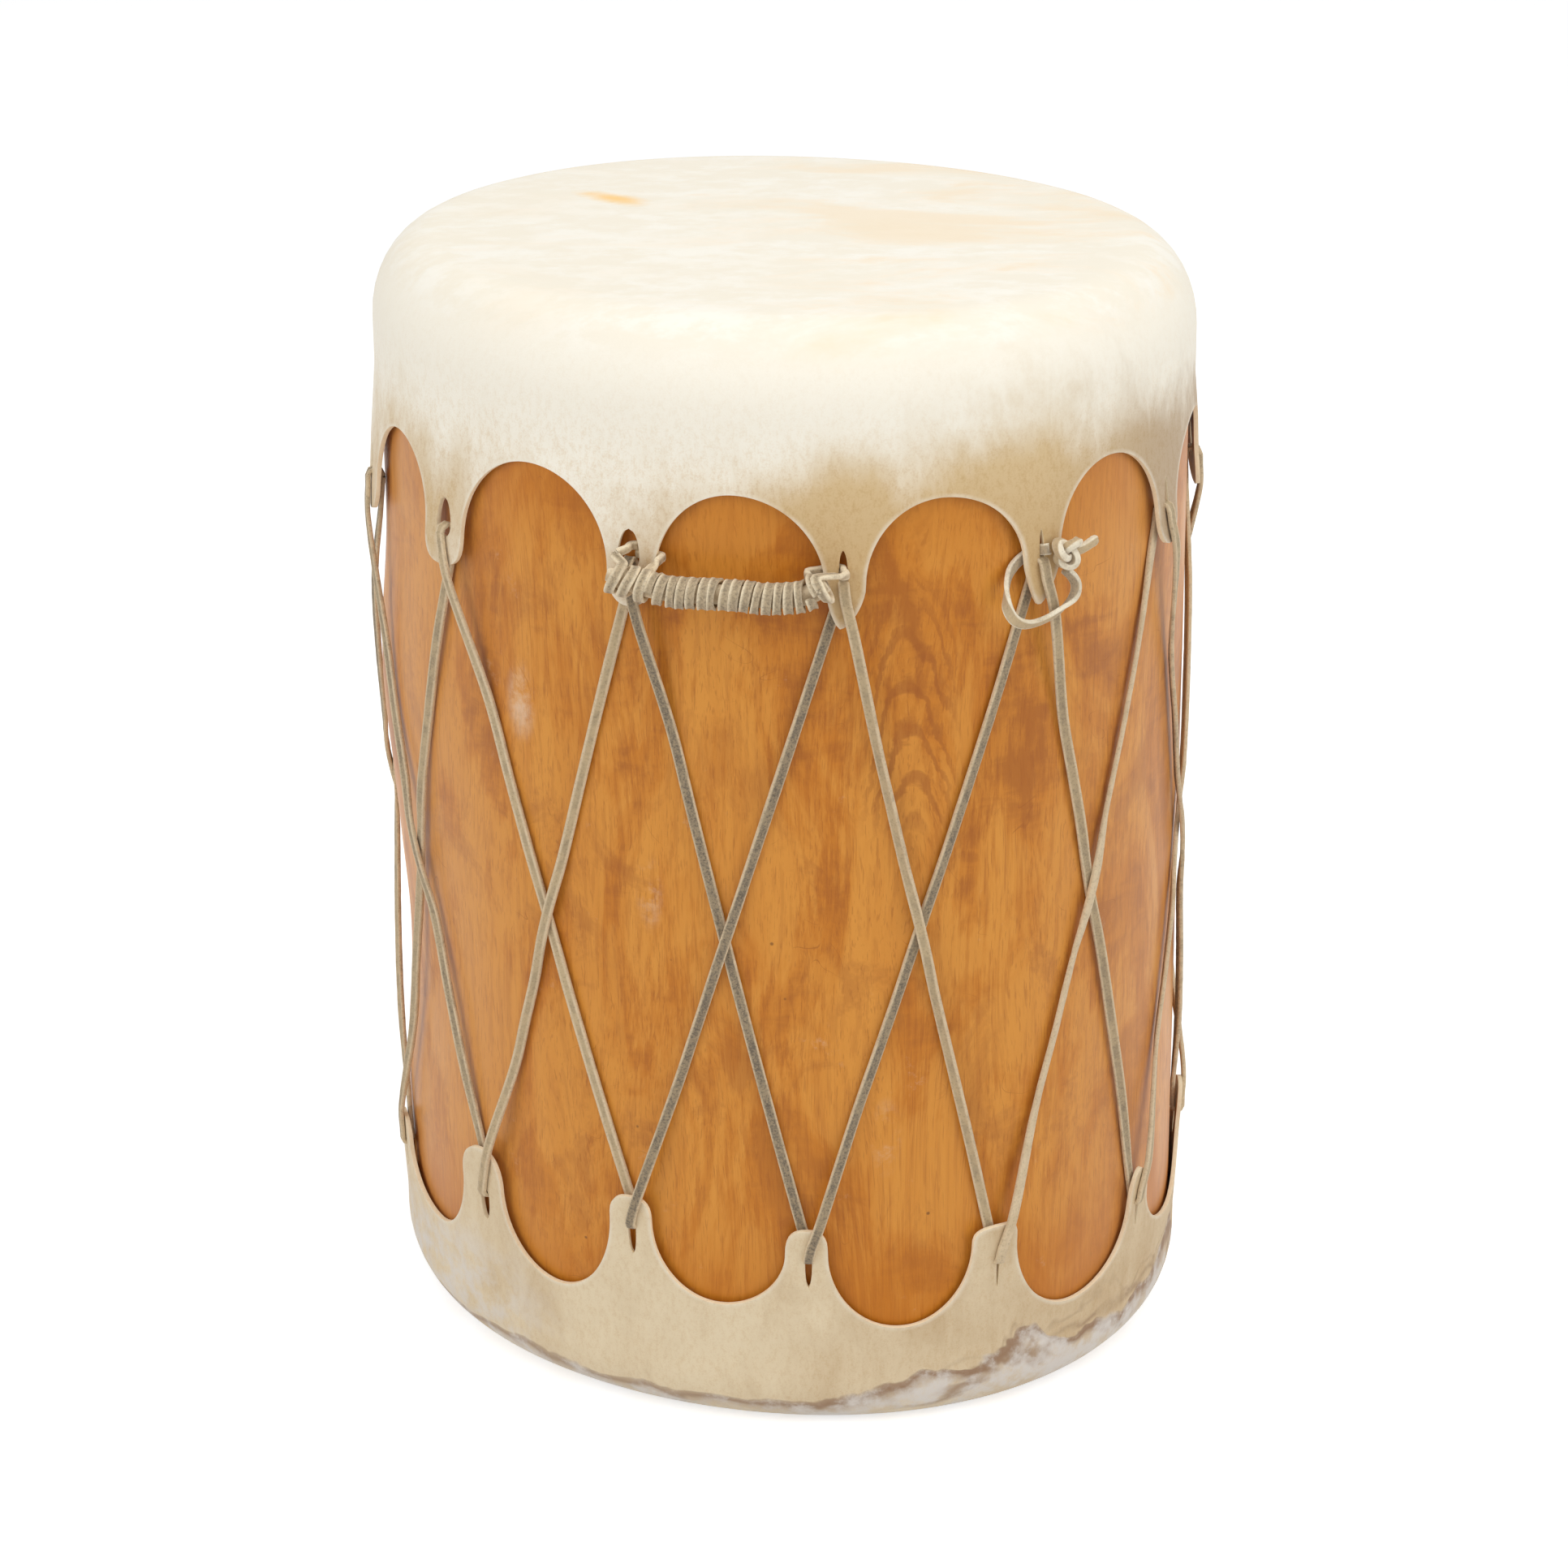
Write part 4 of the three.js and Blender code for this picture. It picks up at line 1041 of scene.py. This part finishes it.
# The two laces. Each comes up behind a tab, turns over the slit's foot, leaves in front of the tab and
# runs on to the next tab at the other end. Lengths in metres from the slit; which lace is over the
# other where they cross; and the roll in degrees, the tint and the wear of each run.
laces = {
    "hug": 0.070, "flat": 0.0095, "ease": 0.030, "over": "bbaaaababbab", "step": 0.0035, "cup": 0.00022,
    "a": {
        "roll": [20, -10, 24, 40, 30, -30, 24, -20, 22, -26, 18, -24],
        "tint": [0.8, 0.3, 1.4, 0.7, 0.0, 0.6, 0.6, 1.3, 0.3, 0.9, 1.2, 0.4],
        "worn": [0.1, 0.25, 0, 0.1, 0.8, 0.1, 0, 0.1, 0, 0, 0.1, 0], "seed": 11.0,
    },
    "b": {
        "roll": [-22, 24, -8, 14, 34, 26, -24, 30, -20, 26, -22, 24],
        "tint": [1.0, 0.6, 1.8, 1.3, 0.9, 0.4, 1.1, 0.5, 1.4, 0.7, 0.3, 1.2],
        "worn": [0.2, 0.2, 0, 0, 0.1, 0.3, 0, 0.1, 0, 0, 0.1, 0.1], "seed": 37.0,
    },
}


def inFront(end, reach):
    return flareAt(end, reach) + drum["fit"] + laceSize["thickness"] / 2


def laceRun(start, to, i):
    angle, j = start["tabs"][i]["angle"], (i + 1) % drum["tabs"]
    z = heightAt(start, footOf(start, i))
    fall = heightAt(to, footOf(to, j)) - z
    return {"angle": angle, "turn": (to["tabs"][j]["angle"] - angle) % (2 * pi), "z": z, "fall": fall}


def crossShare(run, other):
    rise = other["z"] - run["z"]
    ahead = remainder(other["angle"] - run["angle"], 2 * pi)
    apart = other["turn"] * run["fall"] - run["turn"] * other["fall"]
    return (other["turn"] * rise - other["fall"] * ahead) / apart


def laceRoute(name):
    look = laces[name]
    hug, flat, easing = laces["hug"], laces["flat"], laces["ease"]
    stations = []

    def add(angle, z, out, roll=0.0):
        # A run that comes up from the bottom has its grain side inwards
        stations.append({
            "point": onDrum(angle, z, out), "width": skinAlong(angle, z), "roll": radians(roll),
            "tint": look["tint"][i] - (0 if startsAtTop else 2), "worn": look["worn"][i],
        })

    for i in range(drum["tabs"]):
        startsAtTop = (i % 2 == 1) == (name == "a")
        start, to = (topEnd, bottomEnd) if startsAtTop else (bottomEnd, topEnd)
        tab, goal = start["tabs"][i], (i + 1) % drum["tabs"]
        foot = footOf(start, i)
        toEnd = 1 if startsAtTop else -1
        bulge = (inFront(start, foot) - onShell) / 2
        for turn in (radians(degrees) for degrees in range(0, 181, 45)):
            z = heightAt(start, foot) + toEnd * (0.0015 + bulge * sin(turn))
            add(tab["angle"], z, onShell + bulge * (1 - cos(turn)))
        run = laceRun(start, to, i)
        length = abs(run["fall"])
        cross = length * crossShare(run, laceRun(to, start, i))
        before = length - (to["tabs"][goal]["reach"] - footOf(to, goal)) - 0.001
        rise, sink = cross - easing, cross + easing
        third = (before - sink) / 3
        marks = [
            0.003, tab["reach"] - foot + 0.002, hug, (hug + rise) / 2, rise, cross - flat,
            cross + flat, sink, sink + third, before - third, before, length - 0.002,
        ]
        for mark in marks:
            share = mark / length
            angle, z = run["angle"] + run["turn"] * share, run["z"] + run["fall"] * share
            roll = look["roll"][i] * smooth(0.02, 0.06, mark) * smooth(length - 0.02, length - 0.06, mark)
            roll *= smooth(0, easing, abs(mark - cross))
            if mark < hug:
                out = inFront(start, min(foot + mark, tab["reach"] + 0.002))
            else:
                isOver = laces["over"][i] == name and abs(mark - cross) <= flat + 1e-5
                out = onShell + (laceSize["thickness"] + drum["fit"] if isOver else 0)
                out += max(0.0, *(swellAt(angle, z + shift) for shift in (-0.028, 0, 0.028)))
            add(angle, z, out + 0.5 * laceSize["width"] * abs(sin(radians(roll))), roll)
    return stations


def makeLace(name):
    stations = laceRoute(name)
    step, seed = laces["step"], laces[name]["seed"]
    line, turns, directions, tints, worn = [], [], [], [], []
    for k, here in enumerate(stations):
        after = stations[(k + 1) % len(stations)]
        points = [stations[(k + shift) % len(stations)]["point"] for shift in (-1, 0, 1, 2)]
        low, number = stepsBetween(*points[:2], step), stepsBetween(*points[1:3], step)
        line.extend(smoothLine(points, step)[low:low + number])
        for share in (m / number for m in range(number)):
            directions.append(here["width"].lerp(after["width"], share))
            for values, key in ((turns, "roll"), (tints, "tint"), (worn, "worn")):
                values.append(here[key] * (1 - share) + after[key] * share)
    line.append(line[0].copy())
    turns.append(turns[0])
    directions.append(directions[0].copy())
    widths = []
    for i, (wide, turn) in enumerate(zip(directions, turns)):
        travel = (line[(i + 1) % (len(line) - 1)] - line[i - 1 if i else -2]).normalized()
        widths.append(Matrix.Rotation(turn, 3, travel) @ wide)

    def shapeAt(i, run, x, y):
        cup = laces["cup"] * (2 * abs(x) / laceSize["width"]) ** 2
        rough = 0.00012 * wobble(run * 300, x * 700, seed + y * 900)
        return x * (1 + 0.07 * wobble(run * 18, seed)), y + cup + rough

    section = strapSection(*laceSize.values())
    return makeStrap("lace" + name.upper(), "laceHide", line, widths, section, shapeAt, tints, True, worn=worn)


for name in "ab":
    piece = makeLace(name)
    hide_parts("lace_" + name)
    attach(piece, "drum")
print("laces made")


# The handle: a bundle of thongs wound with a strip, tied to two tabs of the top skin. The points of its
# line are along from the left hinge or on from the right one, then out and up.
handle = {
    "left": 2, "right": 3, "tieRise": 0.0075, "tie": 0.0026, "neckHalf": 0.009, "bundle": 0.0083,
    "stripWidth": 0.0038, "stripThickness": 0.0018, "turns": 15, "leftBare": 0.017, "rightBare": 0.0058,
    "stepsPerTurn": 36, "gaps": (0.15, 2.0, 6.0, 10.0, 12.0, 14.0), "barSteps": 60, "bundleSides": 24,
    "leftLine": [(-0.011, 0.0146, -0.0063), (0.012, 0.0163, -0.0096)], "middleLine": (0.017, -0.0079),
    "rightLine": [(-0.017, 0.0163, -0.0071), (-0.006, 0.0157, -0.0042), (0.001, 0.0148, 0.0008)],
}
behindOut = drum["fit"] + handle["tie"] / 2 - drum["shellInset"]
besideNeck = handle["neckHalf"] + 0.005


# A place beside the foot of a tab's slit
def byTab(i, across, rise, out):
    z = heightAt(topEnd, footOf(topEnd, i)) + handle["tieRise"]
    return onDrum(topTabs[i]["angle"] + across / skinRadius(topTabs[i]["angle"], z), z + rise, out)


def frontOut(i):
    return flareAt(topEnd, footOf(topEnd, i) - handle["tieRise"]) + drum["fit"] + handle["tie"] / 2


hingeLeft = byTab(handle["left"], handle["neckHalf"] / 2, 0, behindOut)
hingeRight = byTab(handle["right"], -handle["neckHalf"] / 2, 0, behindOut)
hingeSpan = (hingeRight - hingeLeft).length
barAlong = (hingeRight - hingeLeft).normalized()
barOut = barAlong.cross(upright).normalized()
barUp = barOut.cross(barAlong)


def onHandle(along, out, up):
    return hingeLeft + barAlong * along + barOut * out + barUp * up


barLine = smoothLine([
    *(onHandle(*place) for place in handle["leftLine"]), onHandle(hingeSpan / 2, *handle["middleLine"]),
    *(onHandle(hingeSpan + on, out, up) for on, out, up in handle["rightLine"]),
], 0.0005)
barRun = runOf(barLine)
barLength = barRun[-1]


def onBar(length):
    length = min(barLength, max(0.0, length))
    i = next(k for k in range(1, len(barRun)) if barRun[k] >= length - 1e-9)
    part = (length - barRun[i - 1]) / (barRun[i] - barRun[i - 1])
    return barLine[i - 1].lerp(barLine[i], part), (barLine[i] - barLine[i - 1]).normalized()


# A point beside the bar, at a turn from its top to its front
def besideBar(length, turn, radius):
    centre, along = onBar(length)
    up = (barUp - along * barUp.dot(along)).normalized()
    out = along.cross(up)
    return centre + (up * cos(turn) + out * sin(turn)) * radius, along


def makeBundle():
    line = [onBar(barLength * i / handle["barSteps"])[0] for i in range(handle["barSteps"] + 1)]
    radius, sides = handle["bundle"] / 2, handle["bundleSides"]
    section = [(radius * cos(t), radius * sin(t)) for t in (2 * pi * k / sides for k in range(sides))]

    def shapeAt(i, run, x, y):
        strands = 1 - 0.06 * (0.5 + 0.5 * cos(5 * atan2(y, x) + run * 60))
        strands *= 1 - 0.3 * smooth(0.005, 0, min(run, barLength - run))
        return x * strands, y * strands

    return makeStrap("handleBundle", "handleHide", line, [barUp] * len(line), section, shapeAt, 0.1)


def makeWinding():
    allTurns, perTurn, half = handle["turns"], handle["stepsPerTurn"], handle["stripWidth"] / 2
    start = handle["leftBare"] + half
    end = barLength - handle["rightBare"] - half
    radius = handle["bundle"] / 2 + drum["fit"] + handle["stripThickness"] / 2
    line, widths = [], []
    for i in range(allTurns * perTurn + 1):
        turns = i / perTurn
        inside = smooth(0, 1, turns) * smooth(allTurns, allTurns - 1, turns)
        length = start + (end - start) * turns / allTurns + 0.0009 * wobble(turns * 0.9, 0, 4) * inside
        lift = 0.0005 * wobble(turns * 1.7, 5)
        point, along = besideBar(length, -(turns + 0.75) * 2 * pi, radius + lift)
        line.append(point)
        widths.append(along)

    # The strip's edges curl, and here and there it is narrower and leaves a gap
    def shapeAt(i, run, x, y):
        turns = i / perTurn
        lip = 0.0009 * (abs(x) / half) ** 2.5 * (0.7 + 0.6 * wobble(turns * 2.1, 1 if x > 0 else 9))
        crease = 0.00018 * wobble(run * 140, x * 600, 2)
        width = 1.04 + 0.12 * wobble(turns * 1.3, 2, 6)
        for gap in handle["gaps"]:
            width -= 0.24 * exp(-((turns - gap) / 0.16) ** 2)
        return x * width, y - lip + crease

    section = strapSection(handle["stripWidth"], handle["stripThickness"], 0.0006)
    return makeStrap("handleWinding", "handleHide", line, widths, section, shapeAt, farEdge=0.45)


def tieWinding(start, end, startTurn, endTurn, slant=0.0):
    steps = round(abs(endTurn - startTurn) / 30)
    radius = handle["bundle"] / 2 + drum["fit"] + handle["tie"] / 2
    result = []
    for i in range(steps + 1):
        share = i / steps
        turn = radians(startTurn + (endTurn - startTurn) * share)
        part = max(0.0, share - 0.2) / 0.8
        length = start + (end - start) * part + slant * cos(turn) * smooth(0.1, 0.4, share)
        result.append(besideBar(length, turn, radius + 0.0005 * wobble(share * 7, 3, 1))[0])
    return result


def makeTie(name, points, twist):
    line = smoothLine(points, 0.0012)
    nearBar = [min((point - barLine[k]).length for k in range(0, len(barLine), 6)) for point in line]
    wound = [smooth(0.012, 0.008, distance) for distance in nearBar]
    widths = [upright.lerp(barAlong, share) for share in wound]

    # The strip lies flat where it is wound, and draws together where it passes the tab
    def shapeAt(i, run, x, y):
        rough = 1 + 0.08 * wobble(run * 200, x * 500, twist)
        lip = 0.0005 * wound[i] * (abs(x) / handle["tie"] * 1.6) ** 2.5
        return x * rough * (1.22 + 0.2 * wound[i]), y * rough * (1 - 0.12 * wound[i]) - lip

    section = strapSection(handle["tie"] * 1.18, handle["tie"] * 1.05, 0.0010)
    return makeStrap(name, "handleHide", line, widths, section, shapeAt, 0.2)


def makeLeftTie():
    i = handle["left"]
    front = frontOut(i)
    return makeTie("handleTieLeft", [
        byTab(i, 0.0018, -0.0014, behindOut), byTab(i, handle["neckHalf"], -0.001, behindOut + 0.0002),
        byTab(i, besideNeck, -0.0008, 0.001), byTab(i, besideNeck, -0.0008, 0.004),
        *tieWinding(handle["leftBare"] - 0.0012, 0.0022, -20, -1100, 0.0026),
        byTab(i, -0.0032, 0.0006, front + 0.0035), byTab(i, 0, 0.0022, front),
        byTab(i, 0, 0.0022, behindOut + 0.0015), byTab(i, 0.0028, 0.0024, behindOut),
    ], 1.0)


def makeRightTie():
    i = handle["right"]
    front = frontOut(i)
    return makeTie("handleTieRight", [
        *tieWinding(barLength - handle["rightBare"] + 0.0018, barLength - 0.0018, 90, -330),
        byTab(i, 0.0006, 0.0022, front + 0.0024), byTab(i, 0, 0.0024, front),
        byTab(i, 0, 0.0024, behindOut + 0.0015), byTab(i, -0.0028, 0.0022, behindOut),
        byTab(i, -handle["neckHalf"], 0.0014, behindOut + 0.0002), byTab(i, -besideNeck, 0.001, 0.001),
        byTab(i, -besideNeck, 0.0004, 0.004),
    ], 5.0)


for make, node in ((makeBundle, "handle_core"), (makeWinding, "handle_wrap")):
    piece = make()
    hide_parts(node)
    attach(piece, "handle")

# The ties are not attached to a body; their meshes are baked where they stand
for make, node in ((makeLeftTie, "handle_tie_left"), (makeRightTie, "handle_tie_right")):
    piece = make()
    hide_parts(node)
    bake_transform(piece)
print("handle made")


# Floor and lights
studio = {
    "floor": 7.0, "floorPlace": (0, 2.5, -0.0005), "floorColor": (0.80, 0.80, 0.80, 1), "floorGlow": 0.56,
    "world": 0.48, "white": (1, 1, 1, 1), "aim": Vector((0, 0, 0.3)),
    "lamps": [
        # name, place, size, watts
        ("above", (0.15, -0.35, 2.1), 2.4, 18),
        ("left", (-2.0, -1.5, 1.3), 1.8, 17),
        ("right", (2.0, -1.4, 1.4), 1.8, 17),
    ],
}


# One for a ray that the camera sees, straight, in a gloss or through something clear
def isSeen(tree):
    path = addNode(tree, "ShaderNodeLightPath", {})
    kinds = ("Camera", "Glossy", "Transmission")
    straight, inGloss, through = (Wire(path.outputs[f"Is {kind} Ray"]) for kind in kinds)
    return mathNode("ADD", straight + inGloss, through, clamp=True)


def makeFloor():
    bm = bmesh.new()
    bmesh.ops.create_grid(bm, x_segments=2, y_segments=2, size=studio["floor"])
    bmesh.ops.translate(bm, verts=bm.verts, vec=studio["floorPlace"])
    material, shader = newMaterial("paleFloor", {
        "Roughness": 0.9, "Base Color": studio["floorColor"], "Specular IOR Level": 0.1,
        "Emission Color": studio["white"],
    })
    connect(shader, {"Emission Strength": isSeen(material.node_tree) * studio["floorGlow"]})
    return toObject(bm, "paleFloor", material, False)


def makeWorld():
    world = bpy.data.worlds.new("softWorld")
    scene.world = world
    world.use_nodes = True
    strength = isSeen(world.node_tree) * (1 - studio["world"]) + studio["world"]
    connect(world.node_tree.nodes["Background"], {"Color": studio["white"], "Strength": strength})


def makeLamps():
    for name, place, size, watts in studio["lamps"]:
        lamp = bpy.data.lights.new(name, "AREA")
        lamp.energy = watts
        lamp.size = size
        lampObject = bpy.data.objects.new(name, lamp)
        lampObject.location = place
        toward = studio["aim"] - Vector(place)
        lampObject.rotation_euler = toward.to_track_quat("-Z", "Y").to_euler()
        scene.collection.objects.link(lampObject)


makeFloor()
makeWorld()
makeLamps()
print("studio made")
